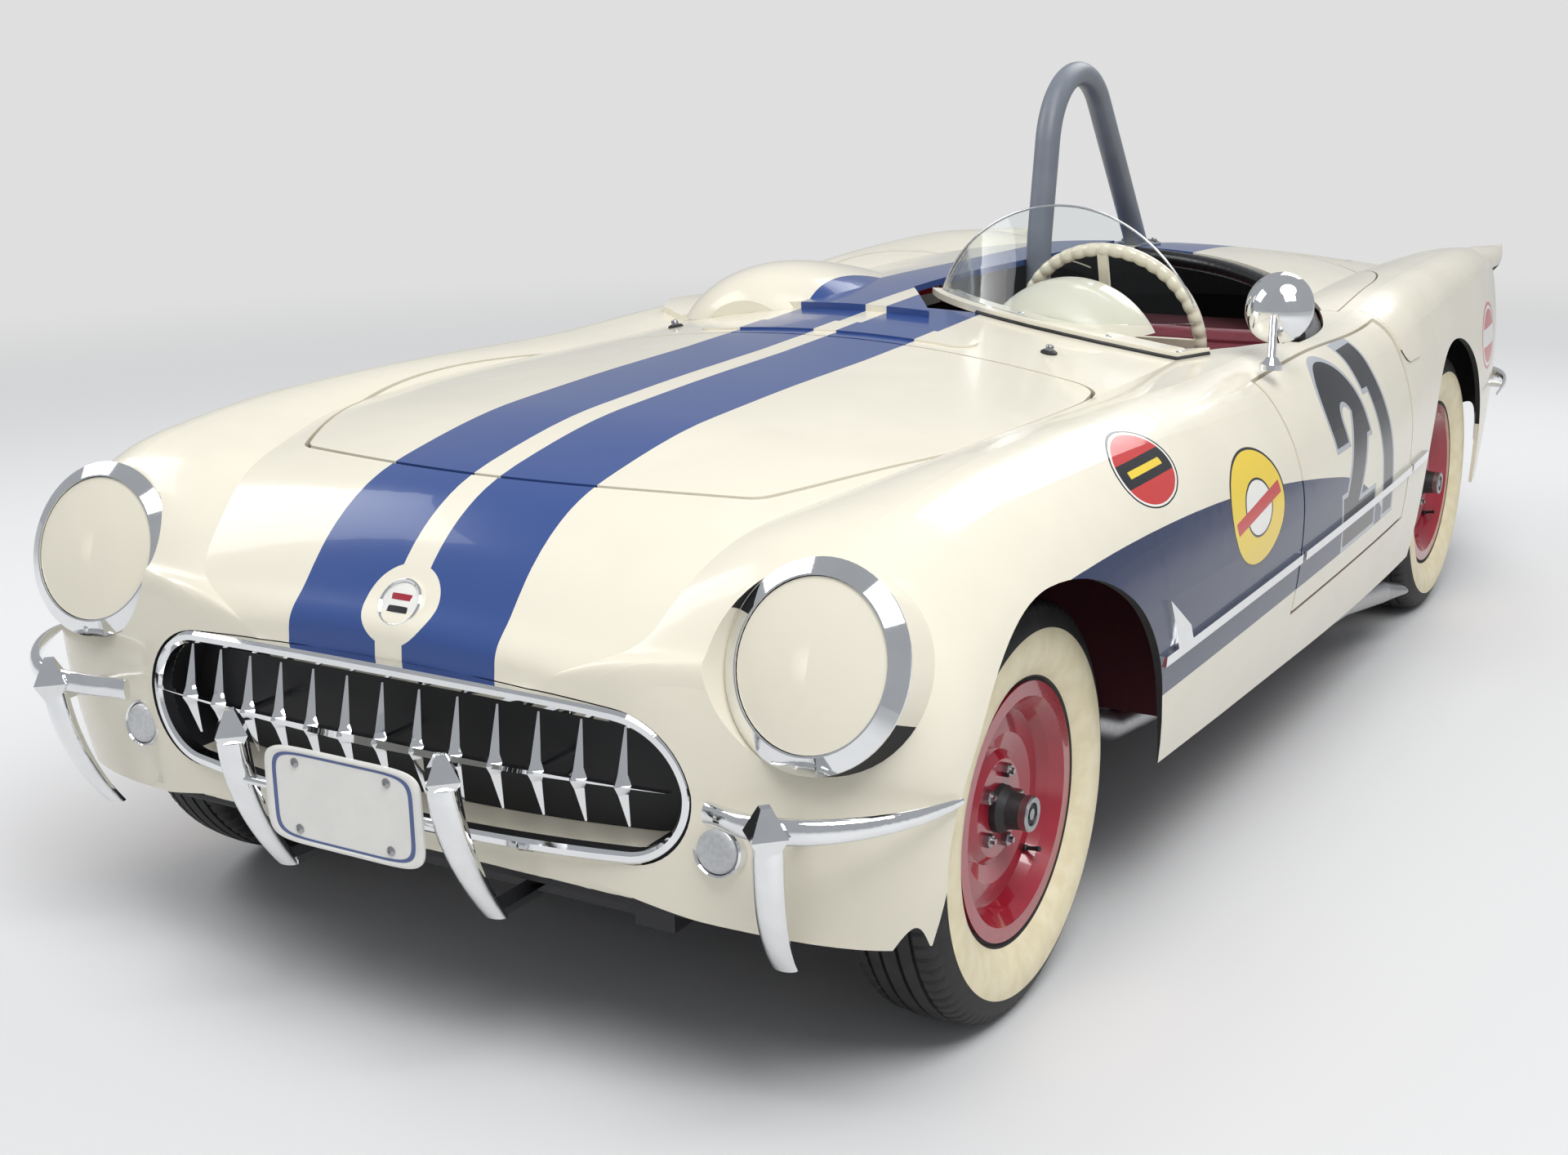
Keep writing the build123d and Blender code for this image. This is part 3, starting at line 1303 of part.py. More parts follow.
for name, side, x, station in (
    ("front_left", 1, FRONT_TRACK / 2, 0.0),
    ("front_right", -1, FRONT_TRACK / 2, 0.0),
    ("rear_left", 1, REAR_TRACK / 2, WHEELBASE),
    ("rear_right", -1, REAR_TRACK / 2, WHEELBASE),
):
    save(tyre(side, x, station), f"tyre_{name}")
    save(turned(RIM_PROFILE, side, x, station), f"rim_{name}")
    save(turned(DRUM_PROFILE, side, x, station), f"hub_{name}")
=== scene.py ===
"""Early-1950s two-seat roadster in race trim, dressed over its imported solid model.

The front faces -Y, the car's left side is +X, +Z is up and the ground is Z = 0, in metres.
Stations are distances behind the front axle, in millimetres.
"""

from __future__ import annotations

import json
import logging
import math
from dataclasses import dataclass
from enum import Enum

import bmesh
import bpy
import numpy as np
from mathutils import Matrix, Vector

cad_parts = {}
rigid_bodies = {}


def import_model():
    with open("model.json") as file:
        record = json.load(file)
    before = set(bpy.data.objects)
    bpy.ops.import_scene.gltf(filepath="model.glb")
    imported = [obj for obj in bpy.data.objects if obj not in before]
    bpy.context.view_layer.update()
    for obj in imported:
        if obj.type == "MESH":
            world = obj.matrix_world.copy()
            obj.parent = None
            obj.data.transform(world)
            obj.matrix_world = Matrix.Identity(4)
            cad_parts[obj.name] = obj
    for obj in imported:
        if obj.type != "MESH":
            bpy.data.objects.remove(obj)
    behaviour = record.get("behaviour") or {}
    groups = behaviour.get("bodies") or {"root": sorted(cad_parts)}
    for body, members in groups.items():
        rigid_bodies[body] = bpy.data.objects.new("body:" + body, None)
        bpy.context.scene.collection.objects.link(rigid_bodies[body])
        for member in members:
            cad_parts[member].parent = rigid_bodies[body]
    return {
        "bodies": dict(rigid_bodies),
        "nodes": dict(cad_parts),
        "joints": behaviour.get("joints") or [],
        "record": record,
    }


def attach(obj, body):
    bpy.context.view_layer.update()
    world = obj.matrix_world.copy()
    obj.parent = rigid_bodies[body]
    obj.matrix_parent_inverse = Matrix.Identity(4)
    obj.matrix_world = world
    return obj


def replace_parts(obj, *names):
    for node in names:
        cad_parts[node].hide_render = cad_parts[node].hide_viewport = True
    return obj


log = logging.getLogger("roadster")
Array = np.ndarray
Colour = tuple[float, float, float]

FRONT_AXLE_Y = -1.4295
WHEELBASE = 2591.0
WHEEL_Z = 0.337
FRONT_TRACK = 0.724
REAR_TRACK = 0.747
BADGE_STATION = -494.0
BADGE_Z = 0.697
SIDES = (1, -1)


def at(station: float) -> float:
    """Y in metres of a station given in millimetres behind the front axle."""
    return FRONT_AXLE_Y + station / 1000.0


def linear(red: int, green: int, blue: int) -> Colour:
    """Linear colour from 8-bit display values.

    Args:
        red: Display red, 0 to 255.
        green: Display green, 0 to 255.
        blue: Display blue, 0 to 255.

    Returns:
        The same colour as linear light.
    """
    parts = []
    for value in (red, green, blue):
        share = value / 255.0
        parts.append(share / 12.92 if share <= 0.04045 else ((share + 0.055) / 1.055) ** 2.4)
    return (parts[0], parts[1], parts[2])


# Shader writing


class Sock:
    """One output socket of a material, with Python operators that add Math nodes."""

    def __init__(self, shader: "Shader", link: object) -> None:
        """Keep the shader that owns the socket, and the socket."""
        self.shader = shader
        self.link = link

    def _math(self, operation: str, *values: object) -> "Sock":
        """Add a Math node over this socket's shader."""
        return self.shader.node("ShaderNodeMath", {"operation": operation}, dict(enumerate(values)))

    def __add__(self, other: object) -> "Sock":
        """Sum."""
        return self._math("ADD", self, other)

    __radd__ = __add__

    def __sub__(self, other: object) -> "Sock":
        """Difference."""
        return self._math("SUBTRACT", self, other)

    def __rsub__(self, other: object) -> "Sock":
        """Difference the other way round."""
        return self._math("SUBTRACT", other, self)

    def __mul__(self, other: object) -> "Sock":
        """Product."""
        return self._math("MULTIPLY", self, other)

    __rmul__ = __mul__

    def __truediv__(self, other: object) -> "Sock":
        """Quotient."""
        return self._math("DIVIDE", self, other)

    def __lt__(self, other: object) -> "Sock":
        """1 where this is below the other."""
        return self._math("LESS_THAN", self, other)

    def __gt__(self, other: object) -> "Sock":
        """1 where this is above the other."""
        return self._math("GREATER_THAN", self, other)

    def __abs__(self) -> "Sock":
        """Size without sign."""
        return self._math("ABSOLUTE", self)

    def root(self) -> "Sock":
        """Square root."""
        return self._math("SQRT", self)

    def least(self, other: object) -> "Sock":
        """Smaller of the two."""
        return self._math("MINIMUM", self, other)

    def most(self, other: object) -> "Sock":
        """Larger of the two."""
        return self._math("MAXIMUM", self, other)

    def sine(self) -> "Sock":
        """Sine, in radians."""
        return self._math("SINE", self)

    def ramp(self, low: float, high: float) -> "Sock":
        """0 below low, 1 above high, smooth between."""
        settings = {"interpolation_type": "SMOOTHSTEP"}
        values = {"Value": self, "From Min": low, "From Max": high}
        return self.shader.node("ShaderNodeMapRange", settings, values)


class Shader:
    """Writes one node material."""

    def __init__(self, name: str) -> None:
        """Start a material with nothing in it."""
        self.material = bpy.data.materials.new(name)
        self.material.use_nodes = True
        self.tree = self.material.node_tree
        self.tree.nodes.clear()

    def node(
        self, kind: str, settings: dict | None = None, inputs: dict | None = None, output: int | str = 0
    ) -> Sock:
        """Add a node.

        Args:
            kind: The node's type name.
            settings: Properties set before the sockets; "stops" fills a colour ramp.
            inputs: Values or sockets by input name or number.
            output: The output to return.

        Returns:
            The chosen output.
        """
        made = self.tree.nodes.new(kind)
        for key, value in (settings or {}).items():
            if key == "stops":
                while len(made.color_ramp.elements) < len(value):
                    made.color_ramp.elements.new(0.5)
                for element, (place, colour) in zip(made.color_ramp.elements, value):
                    element.position = place
                    element.color = (*colour, 1.0)
            else:
                setattr(made, key, value)
        for key, value in (inputs or {}).items():
            socket = made.inputs[key]
            if isinstance(value, Sock):
                self.tree.links.new(value.link, socket)
            elif isinstance(value, (tuple, list)) and len(value) == 3 and socket.type == "RGBA":
                socket.default_value = (*value, 1.0)
            else:
                socket.default_value = value
        return Sock(self, made.outputs[output])

    def coords(self, output: str = "Object") -> tuple[Sock, Sock, Sock]:
        """X, Y and Z of the shaded point, or of its normal, on the object."""
        source = self.node("ShaderNodeTexCoord", output=output)
        outputs = self.node("ShaderNodeSeparateXYZ", inputs={0: source}).link.node.outputs
        return Sock(self, outputs[0]), Sock(self, outputs[1]), Sock(self, outputs[2])

    def noise(self, scale: float, detail: float = 3.0) -> Sock:
        """Soft noise on object coordinates, 0 to 1."""
        source = self.node("ShaderNodeTexCoord", output="Object")
        values = {"Vector": source, "Scale": scale, "Detail": detail}
        return self.node("ShaderNodeTexNoise", None, values, "Fac")

    def cells(self, scale: float) -> Sock:
        """Distance to the nearest of scattered points, for leather grain."""
        source = self.node("ShaderNodeTexCoord", output="Object")
        return self.node("ShaderNodeTexVoronoi", None, {"Vector": source, "Scale": scale}, "Distance")

    def mix(self, share: object, first: object, second: object) -> Sock:
        """Colour between two colours by a share from 0 to 1."""
        return self.node("ShaderNodeMix", {"data_type": "RGBA"}, {0: share, 6: first, 7: second}, 2)

    def bump(self, height: Sock, strength: float, distance: float) -> Sock:
        """Normal from a height."""
        values = {"Height": height, "Strength": strength, "Distance": distance}
        return self.node("ShaderNodeBump", None, values)

    def surface(self, **inputs: object) -> bpy.types.Material:
        """Finish with one Principled surface.

        Args:
            **inputs: Socket names with underscores for spaces.

        Returns:
            The finished material.
        """
        values = {key.replace("_", " "): value for key, value in inputs.items()}
        return self.close(self.node("ShaderNodeBsdfPrincipled", None, values))

    def close(self, shade: Sock) -> bpy.types.Material:
        """Join a surface to the material's output."""
        out = self.tree.nodes.new("ShaderNodeOutputMaterial")
        self.tree.links.new(shade.link, out.inputs["Surface"])
        return self.material


CREAM = linear(232, 226, 208)
STRIPE = linear(56, 80, 138)
NAVY = linear(38, 50, 84)
BLACK = (0.008, 0.008, 0.01)
SILVER = linear(176, 180, 186)
RED = linear(196, 52, 50)
YELLOW = linear(236, 205, 60)
WHITE = linear(235, 234, 228)
BURGUNDY = linear(120, 34, 50)
BACKDROP = 0.74


@dataclass(frozen=True)
class PlainFinish:
    """A finish that is the same all over apart from faint wear.

    Attributes:
        name: Material name.
        colour: Base colour.
        roughness: Mean roughness.
        metallic: 1 for bare metal.
        coat: Clear coat weight.
        grain: Height of the fine bump in metres.
        scale: Noise scale of the wear and bump.
        spread: How far roughness strays.
        shade: How much darker the worn patches are.
    """

    name: str
    colour: Colour
    roughness: float = 0.4
    metallic: float = 0.0
    coat: float = 0.0
    grain: float = 0.0
    scale: float = 60.0
    spread: float = 0.06
    shade: float = 0.12

    def make(self) -> bpy.types.Material:
        """Write the material."""
        shader = Shader(self.name)
        speck = shader.noise(self.scale)
        dark = tuple(c * (1.0 - self.shade) for c in self.colour)
        inputs: dict[str, object] = {
            "Base_Color": shader.mix(speck.ramp(0.35, 0.65), dark, self.colour),
            "Roughness": (speck - 0.5) * (2 * self.spread) + self.roughness,
            "Metallic": self.metallic,
            "Coat_Weight": self.coat,
            "Coat_Roughness": 0.04,
        }
        if self.grain:
            inputs["Normal"] = shader.bump(speck, 0.5, self.grain)
        return shader.surface(**inputs)


@dataclass(frozen=True)
class VinylFinish:
    """Grained vinyl or leather: small pebbles with dark creases between them.

    Attributes:
        name: Material name.
        colour: Base colour.
        roughness: Mean roughness.
        pebble: Pebbles in a metre.
        depth: Height of the grain in metres.
    """

    name: str
    colour: Colour
    roughness: float = 0.42
    pebble: float = 420.0
    depth: float = 0.0007

    def make(self) -> bpy.types.Material:
        """Write the material."""
        shader = Shader(self.name)
        cell = shader.cells(self.pebble)
        worn = shader.noise(14.0)
        crease = tuple(c * 0.55 for c in self.colour)
        tone = shader.mix(worn.ramp(0.3, 0.7), tuple(c * 0.85 for c in self.colour), self.colour)
        return shader.surface(
            Base_Color=shader.mix(cell.ramp(0.35, 0.75), tone, crease),
            Roughness=(worn - 0.5) * 0.16 + self.roughness,
            Normal=shader.bump(cell, 0.35, self.depth),
            Coat_Weight=0.15,
            Coat_Roughness=0.3,
        )


class Panel(Enum):
    """What is painted on a body panel."""

    PLAIN = "plain"
    STRIPED = "striped"
    NOSE = "nose"
    TAIL = "tail"
    DOOR_LEFT = "door_left"
    DOOR_RIGHT = "door_right"
    COVER = "cover"
    DASH = "dash"


@dataclass(frozen=True)
class BodyPaint:
    """Clean gloss paint with the stripes, side flash, number and decals that cross a panel.

    Attributes:
        panel: Which panel it is for.
        stripe_inner: Inner edge of a stripe from the centre line.
        stripe_outer: Outer edge of a stripe.
        stripe_low: Lowest height of the stripes.
        number_top: Top of the number.
        number_front: Station of the number's front edge at its top.
        number_lean: Shift back of the number for each metre down.
        stroke: Width of the number's strokes.
        outline: Width of the number's outline.
    """

    panel: Panel
    stripe_inner: float = 0.026
    stripe_outer: float = 0.200
    stripe_low: float = 0.612
    number_top: float = 0.838
    number_front: float = 1242.0
    number_lean: float = 0.295
    stroke: float = 0.082
    outline: float = 0.011

    def stripes(self, x: Sock, z: Sock) -> Sock:
        """1 between the two edges on either side of the centre line and above the lowest height."""
        across = abs(x)
        return (across > self.stripe_inner) * (across < self.stripe_outer) * (z > self.stripe_low)

    def flash(self, y: Sock, z: Sock) -> Sock:
        """1 between a level lower edge and an upper edge that falls faster behind the door's middle.

        The upper edge is 735 mm less 0.08 and 0.45 times the squares of the metres behind
        stations 100 and 1300.
        """
        early = y - at(100.0)
        late = (y - at(1300.0)).most(0.0)
        upper = 0.735 - early * early * 0.08 - late * late * 0.45
        return (z < upper) * (z > 0.448) * (y > at(-90.0))

    def bar(self, u: Sock, v: Sock, first: tuple[float, float], last: tuple[float, float]) -> Sock:
        """Signed distance outside a straight stroke with square ends.

        The larger of the distance across the stroke less half its width and the distance along
        it from its middle less half its length.
        """
        dx, dy = last[0] - first[0], last[1] - first[1]
        length = math.hypot(dx, dy)
        ux, uy = dx / length, dy / length
        pu = u - (first[0] + last[0]) / 2
        pv = v - (first[1] + last[1]) / 2
        across = abs(pv * ux - pu * uy) - self.stroke / 2
        along = abs(pu * ux + pv * uy) - length / 2
        return across.most(along)

    def number(self, y: Sock, z: Sock, side: int) -> tuple[Sock, Sock]:
        """Shares of the number's black strokes and of its outline.

        Args:
            y: Y on the object.
            z: Z on the object.
            side: 1 on the left of the car, -1 on the right, where the digits swap ends.
        """
        height = 0.380
        lean = (self.number_top - z) * self.number_lean
        if side > 0:
            u = y - at(self.number_front) - lean
        else:
            u = (y - at(self.number_front + 415.0) + lean - self.number_lean * height) * -1.0
        v = z - (self.number_top - height)
        half = self.stroke / 2
        wide = 0.250
        bow = height - wide / 2
        strokes = (
            ((half, bow - 0.035), (half, bow)),
            ((wide - half, bow), (wide - half, 0.215)),
            ((wide - half, 0.262), (half + 0.004, 0.060)),
            ((half, 0.110), (half, 0.0)),
            ((0.0, half), (wide, half)),
            ((0.370, height), (0.370, 0.0)),
            ((0.290, height - half), (0.411, height - half)),
        )
        pu, pv = u - wide / 2, v - bow
        gap = (abs((pu * pu + pv * pv).root() - (wide / 2 - half)) - half).most(pv * -1.0)
        for first, last in strokes:
            gap = gap.least(self.bar(u, v, first, last))
        return gap < 0.0, gap < self.outline

    def disc(self, y: Sock, z: Sock, station: float, height: float, half: float, rise: float) -> Sock:
        """Distance from a decal's centre as a share of its edge's."""
        dy = (y - at(station)) / half
        dz = (z - height) / rise
        return (dy * dy + dz * dz).root()

    def decals(self, shader: Shader, y: Sock, z: Sock, tone: Sock) -> Sock:
        """Round and oval decals with plain bands, in the paint of the front fender."""
        reach = self.disc(y, z, 366.0, 0.812, 0.112, 0.056)
        band = abs(z - 0.815) < 0.017
        tone = shader.mix(reach < 1.0, tone, BLACK)
        tone = shader.mix(reach < 0.955, tone, WHITE)
        tone = shader.mix(reach < 0.90, tone, RED)
        tone = shader.mix((reach < 0.90) * band, tone, BLACK)
        tone = shader.mix((reach < 0.62) * (abs(z - 0.815) < 0.005), tone, YELLOW)
        oval = self.disc(y, z, 776.0, 0.668, 0.150, 0.104)
        tone = shader.mix(oval < 1.0, tone, BLACK)
        tone = shader.mix(oval < 0.955, tone, YELLOW)
        tone = shader.mix(oval < 0.50, tone, BLACK)
        tone = shader.mix(oval < 0.46, tone, WHITE)
        return shader.mix((oval < 0.86) * (abs(z - 0.668 - (y - at(776.0)) * 0.12) < 0.012), tone, RED)

    def rear_decal(self, shader: Shader, y: Sock, z: Sock, tone: Sock) -> Sock:
        """Oval decal with a plain band on the rear fender."""
        oval = self.disc(y, z, 2935.0, 0.680, 0.112, 0.090)
        tone = shader.mix(oval < 1.0, tone, RED)
        tone = shader.mix(oval < 0.90, tone, WHITE)
        tone = shader.mix(oval < 0.80, tone, RED)
        return shader.mix((oval < 0.80) * (abs(z - 0.680) < 0.024), tone, WHITE)

    def make(self) -> bpy.types.Material:
        """Write the material."""
        shader = Shader(f"paint_{self.panel.value}")
        x, y, z = shader.coords()
        nx, ny, nz = shader.coords("Normal")
        dust = shader.noise(5.0)
        tone = shader.mix(dust.ramp(0.4, 0.6), tuple(c * 0.975 for c in CREAM), CREAM)
        if self.panel in (Panel.STRIPED, Panel.COVER):
            tone = shader.mix(self.stripes(x, z), tone, STRIPE)
        if self.panel is Panel.NOSE:
            dy, dz = y - at(BADGE_STATION), z - BADGE_Z
            away = (x * x + dy * dy + dz * dz).root()
            behind_screen = (y > at(1130.0)) * (x > 0.012)
            striped = self.stripes(x, z) * (1.0 - (away < 0.068)) * (1.0 - behind_screen)
            tone = shader.mix(striped, tone, STRIPE)
        if self.panel is Panel.TAIL:
            tone = shader.mix(self.stripes(x, z), tone, STRIPE)
            tone = self.rear_decal(shader, y, z, tone)
        if self.panel in (Panel.NOSE, Panel.DOOR_LEFT, Panel.DOOR_RIGHT, Panel.PLAIN):
            tone = shader.mix(self.flash(y, z) * (abs(x) > 0.78), tone, NAVY)
        if self.panel in (Panel.DOOR_LEFT, Panel.DOOR_RIGHT):
            ink, edge = self.number(y, z, 1 if self.panel is Panel.DOOR_LEFT else -1)
            tone = shader.mix(edge, tone, SILVER)
            tone = shader.mix(ink, tone, BLACK)
        if self.panel is Panel.NOSE:
            outer = (abs(x) > 0.70) * (nz > -0.2)
            tone = shader.mix(outer, tone, self.decals(shader, y, z, tone))
        side = x / abs(x).most(0.001)
        inward = ((nx * side) < -0.25) * (z < 0.62) * (abs(x) > 0.3)
        if self.panel in (Panel.DOOR_LEFT, Panel.DOOR_RIGHT, Panel.TAIL, Panel.PLAIN):
            inward = ((nx * side) < -0.25) * (z < 0.80) * (y < at(2400.0))
        hidden = inward.most(nz < -0.35)
        if self.panel in (Panel.TAIL, Panel.STRIPED):
            hidden = hidden.most((ny < -0.35) * (z < 0.86) * (y > at(1000.0)) * (abs(x) < 0.78))
        if self.panel in (Panel.DASH, Panel.COVER):
            hidden = (nz < -0.2).most((y > at(1150.0)) * (ny > 0.6) * (z < 0.9))
        cabin = (Panel.DOOR_LEFT, Panel.DOOR_RIGHT, Panel.DASH)
        lining = BURGUNDY if self.panel in cabin else (0.02, 0.02, 0.022)
        if self.panel is Panel.TAIL:
            lining = shader.mix((y < at(2500.0)) * (abs(x) < 0.78), lining, BURGUNDY)
        tone = shader.mix(hidden, tone, lining)
        peel = shader.noise(260.0, 1.0)
        return shader.surface(
            Base_Color=tone,
            Roughness=(dust - 0.5) * 0.05 + 0.24 + hidden * 0.4,
            Coat_Weight=(1.0 - hidden) * 0.5,
            Coat_Roughness=0.03,
            Coat_IOR=1.3,
            Specular_IOR_Level=0.25,
            Normal=shader.bump(peel, 0.10, 0.0002),
        )


@dataclass(frozen=True)
class TyreFinish:
    """Black rubber with a cream wall on the outer side, by radius from the axle.

    Attributes:
        station: Station of the axle.
        outside: Distance from the centre line of the tyre's middle.
    """

    station: float
    outside: float

    def make(self) -> bpy.types.Material:
        """Write the material."""
        shader = Shader(f"tyre_{int(self.station)}")
        x, y, z = shader.coords()
        dy, dz = y - at(self.station), z - WHEEL_Z
        radius = (dy * dy + dz * dz).root()
        wall = (radius < 0.291) * (radius > 0.2145) * (abs(x) > self.outside)
        dust = shader.noise(30.0)
        grain = shader.noise(700.0, 1.0)
        black = shader.mix(dust.ramp(0.35, 0.7), (0.010, 0.010, 0.011), (0.022, 0.021, 0.021))
        white = shader.mix(dust.ramp(0.3, 0.7), linear(226, 214, 178), linear(236, 226, 194))
        ribs = (radius * 2600.0).sine() * (radius > 0.296) * (radius < 0.318)
        return shader.surface(
            Base_Color=shader.mix(wall, black, white),
            Roughness=(dust - 0.5) * 0.16 + 0.62 - wall * 0.14,
            Normal=shader.bump(grain * 0.4 + ribs * 0.6, 0.35, 0.0006),
        )


FINISHES: dict[str, PlainFinish | VinylFinish] = {
    "chrome": PlainFinish(
        "chrome", (0.86, 0.87, 0.88), 0.05, 1.0, scale=24.0, spread=0.025, shade=0.04
    ),
    "dark": PlainFinish("dark", (0.012, 0.012, 0.014), 0.55),
    "trim": VinylFinish("trim", BURGUNDY),
    "pad": VinylFinish("pad", (0.012, 0.012, 0.013), 0.3, 300.0, 0.0005),
    "chassis": PlainFinish("chassis", (0.02, 0.02, 0.022), 0.5, grain=0.0002, scale=90.0),
    "iron": PlainFinish("iron", (0.05, 0.05, 0.053), 0.55, 0.6, grain=0.0006, scale=180.0),
    "steel": PlainFinish("steel", (0.42, 0.42, 0.43), 0.32, 1.0, scale=80.0),
    "rim": PlainFinish("rim", linear(158, 22, 44), 0.26, coat=0.9, scale=22.0, spread=0.04, shade=0.08),
    "hoop": PlainFinish("hoop", linear(122, 128, 138), 0.4, scale=14.0, shade=0.07),
    "lamp_red": PlainFinish("lamp_red", (0.32, 0.01, 0.01), 0.12, coat=1.0),
    "lamp_clear": PlainFinish(
        "lamp_clear", (0.55, 0.56, 0.57), 0.1, coat=1.0, grain=0.0012, scale=160.0
    ),
    "cream": PlainFinish("cream", linear(228, 219, 196), 0.26, coat=0.7, scale=18.0, shade=0.05),
    "carpet": PlainFinish("carpet", linear(84, 26, 38), 0.9, grain=0.003, scale=900.0, shade=0.35),
    "rubber": PlainFinish("rubber", (0.014, 0.014, 0.015), 0.5, scale=50.0),
    "white": PlainFinish("white", WHITE, 0.3, coat=0.5, scale=20.0, shade=0.04),
    "glassy": PlainFinish(
        "mirror_glass", (0.82, 0.84, 0.86), 0.02, 1.0, scale=10.0, spread=0.01, shade=0.02
    ),
    "blue": PlainFinish("blue", STRIPE, 0.3, coat=0.8, scale=20.0, shade=0.05),
    "dial": PlainFinish("dial", (0.02, 0.02, 0.022), 0.25, coat=1.0, scale=30.0),
}


def glass_finish() -> bpy.types.Material:
    """Thin clear sheet: see-through, brighter at glancing angles."""
    shader = Shader("clear_sheet")
    fresnel = shader.node("ShaderNodeFresnel", None, {"IOR": 1.25})
    clear = shader.node("ShaderNodeBsdfTransparent", None, {"Color": (0.96, 0.975, 0.975)})
    gloss = shader.node("ShaderNodeBsdfGlossy", None, {"Color": (1.0, 1.0, 1.0), "Roughness": 0.03})
    return shader.close(shader.node("ShaderNodeMixShader", None, {0: fresnel * 0.8, 1: clear, 2: gloss}))


# Mesh making


@dataclass
class Form:
    """Points and faces gathered from several surfaces, then made one object.

    Attributes:
        name: Name of the piece.
        points: Blocks of points.
        faces: Blocks of faces, numbered over all the points.
        count: Points so far.
    """

    name: str

    def __post_init__(self) -> None:
        """Start empty."""
        self.points: list[Array] = []
        self.faces: list[Array] = []
        self.count = 0

    def grid(self, surface: Array, close_u: bool = False, close_v: bool = False) -> "Form":
        """Add a grid of points as quads between neighbours.

        Args:
            surface: Points by row and column.
            close_u: Join the last row to the first.
            close_v: Join the last column to the first.

        Returns:
            This form.
        """
        rows, columns = surface.shape[:2]
        index = np.arange(rows * columns).reshape(rows, columns) + self.count
        if close_u:
            index = np.vstack((index, index[:1]))
        if close_v:
            index = np.hstack((index, index[:, :1]))
        quads = np.stack((index[:-1, :-1], index[1:, :-1], index[1:, 1:], index[:-1, 1:]), axis=-1)
        self.points.append(surface.reshape(-1, 3))
        self.faces.append(quads.reshape(-1, 4))
        self.count += rows * columns
        return self

    def finish(
        self, body: str, slot: str, material: bpy.types.Material, angle: float = 35.0
    ) -> bpy.types.Object:
        """Make the object, merge seams and poles, and hand it to its body.

        Args:
            body: CAD body that it rides on.
            slot: Material slot in the record; not used.
            material: Its finish.
            angle: Edges sharper than this many degrees stay sharp.

        Returns:
            The piece.
        """
        mesh = bpy.data.meshes.new(self.name)
        mesh.from_pydata(np.vstack(self.points), [], np.vstack(self.faces).tolist())
        work = bmesh.new()
        work.from_mesh(mesh)
        bmesh.ops.remove_doubles(work, verts=work.verts, dist=1e-6)
        bmesh.ops.dissolve_degenerate(work, edges=work.edges, dist=1e-7)
        bmesh.ops.recalc_face_normals(work, faces=work.faces)
        work.to_mesh(mesh)
        work.free()
        mesh.shade_smooth()
        mesh.set_sharp_from_angle(angle=math.radians(angle))
        mesh.materials.append(material)
        piece = bpy.data.objects.new(self.name, mesh)
        bpy.context.collection.objects.link(piece)
        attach(piece, body)
        log.info("%s: %d faces on %s", self.name, len(mesh.polygons), body)
        return piece


def unit(vectors: Array) -> Array:
    """Vectors scaled to length 1."""
    vectors = np.asarray(vectors, float)
    return vectors / np.linalg.norm(vectors, axis=-1, keepdims=True)


def axes(normal: Array) -> tuple[Array, Array, Array]:
    """Two directions across a normal, and the normal itself, all of length 1."""
    normal = unit(normal)
    helper = np.where(abs(normal[..., 2:3]) < 0.9, (0.0, 0.0, 1.0), (0.0, 1.0, 0.0))
    first = unit(np.cross(helper, normal))
    return first, np.cross(normal, first), normal


def turned(profile: Array, centre: Array, normal: Array, count: int = 32) -> Array:
    """Surface of revolution.

    A point is the centre plus the profile's radius times the turning direction plus its height
    times the normal.

    Args:
        profile: Rows of radius and height.
        centre: Point on the axis at height 0.
        normal: Direction of the axis.
        count: Steps round.

    Returns:
        A grid by step and profile row.
    """
    first, second, third = axes(np.asarray(normal, float))
    turn = np.linspace(0.0, 2 * np.pi, count, endpoint=False)[:, None, None]
    profile = np.asarray(profile, float)
    radius, height = profile[None, :, :1], profile[None, :, 1:]
    return centre + radius * (np.cos(turn) * first + np.sin(turn) * second) + height * third


def tube(path: Array, radius: Array | float, count: int = 12, closed: bool = False) -> Array:
    """Round tube along a path, closed to a point at both ends unless the path is closed.

    A point is the path's plus the radius times the cosine and sine of a turn along two
    directions across the path's own direction.

    Args:
        path: Points in order.
        radius: One radius, or one for each point.
        count: Steps round.
        closed: The path joins itself.

    Returns:
        A grid by path point and step.
    """
    path = np.asarray(path, float)
    radius = np.broadcast_to(radius, len(path)).astype(float)
    if not closed:
        path = np.vstack((path[:1], path, path[-1:]))
        radius = np.concatenate(([0.0], radius, [0.0]))
        way = np.gradient(path[1:-1], axis=0)
        way = np.vstack((way[:1], way, way[-1:]))
    else:
        way = np.roll(path, -1, axis=0) - np.roll(path, 1, axis=0)
    first, second, _ = axes(way)
    turn = np.linspace(0.0, 2 * np.pi, count, endpoint=False)[None, :, None]
    out = np.cos(turn) * first[:, None] + np.sin(turn) * second[:, None]
    return path[:, None] + radius[:, None, None] * out


def plate(front: Array, back: Array) -> list[Array]:
    """Closed plate as grids: a front, a back, and the wall between their edges.

    Args:
        front: Grid of points.
        back: Grid of the same size.

    Returns:
        Grids to add to a form.
    """
    rims = []
    for grid in (front, back):
        edges = (grid[0], grid[1:, -1], grid[-1, -2::-1], grid[-2:0:-1, 0], grid[:1, 0])
        rims.append(np.concatenate(edges))
    return [front, back, np.stack(rims, axis=1)]


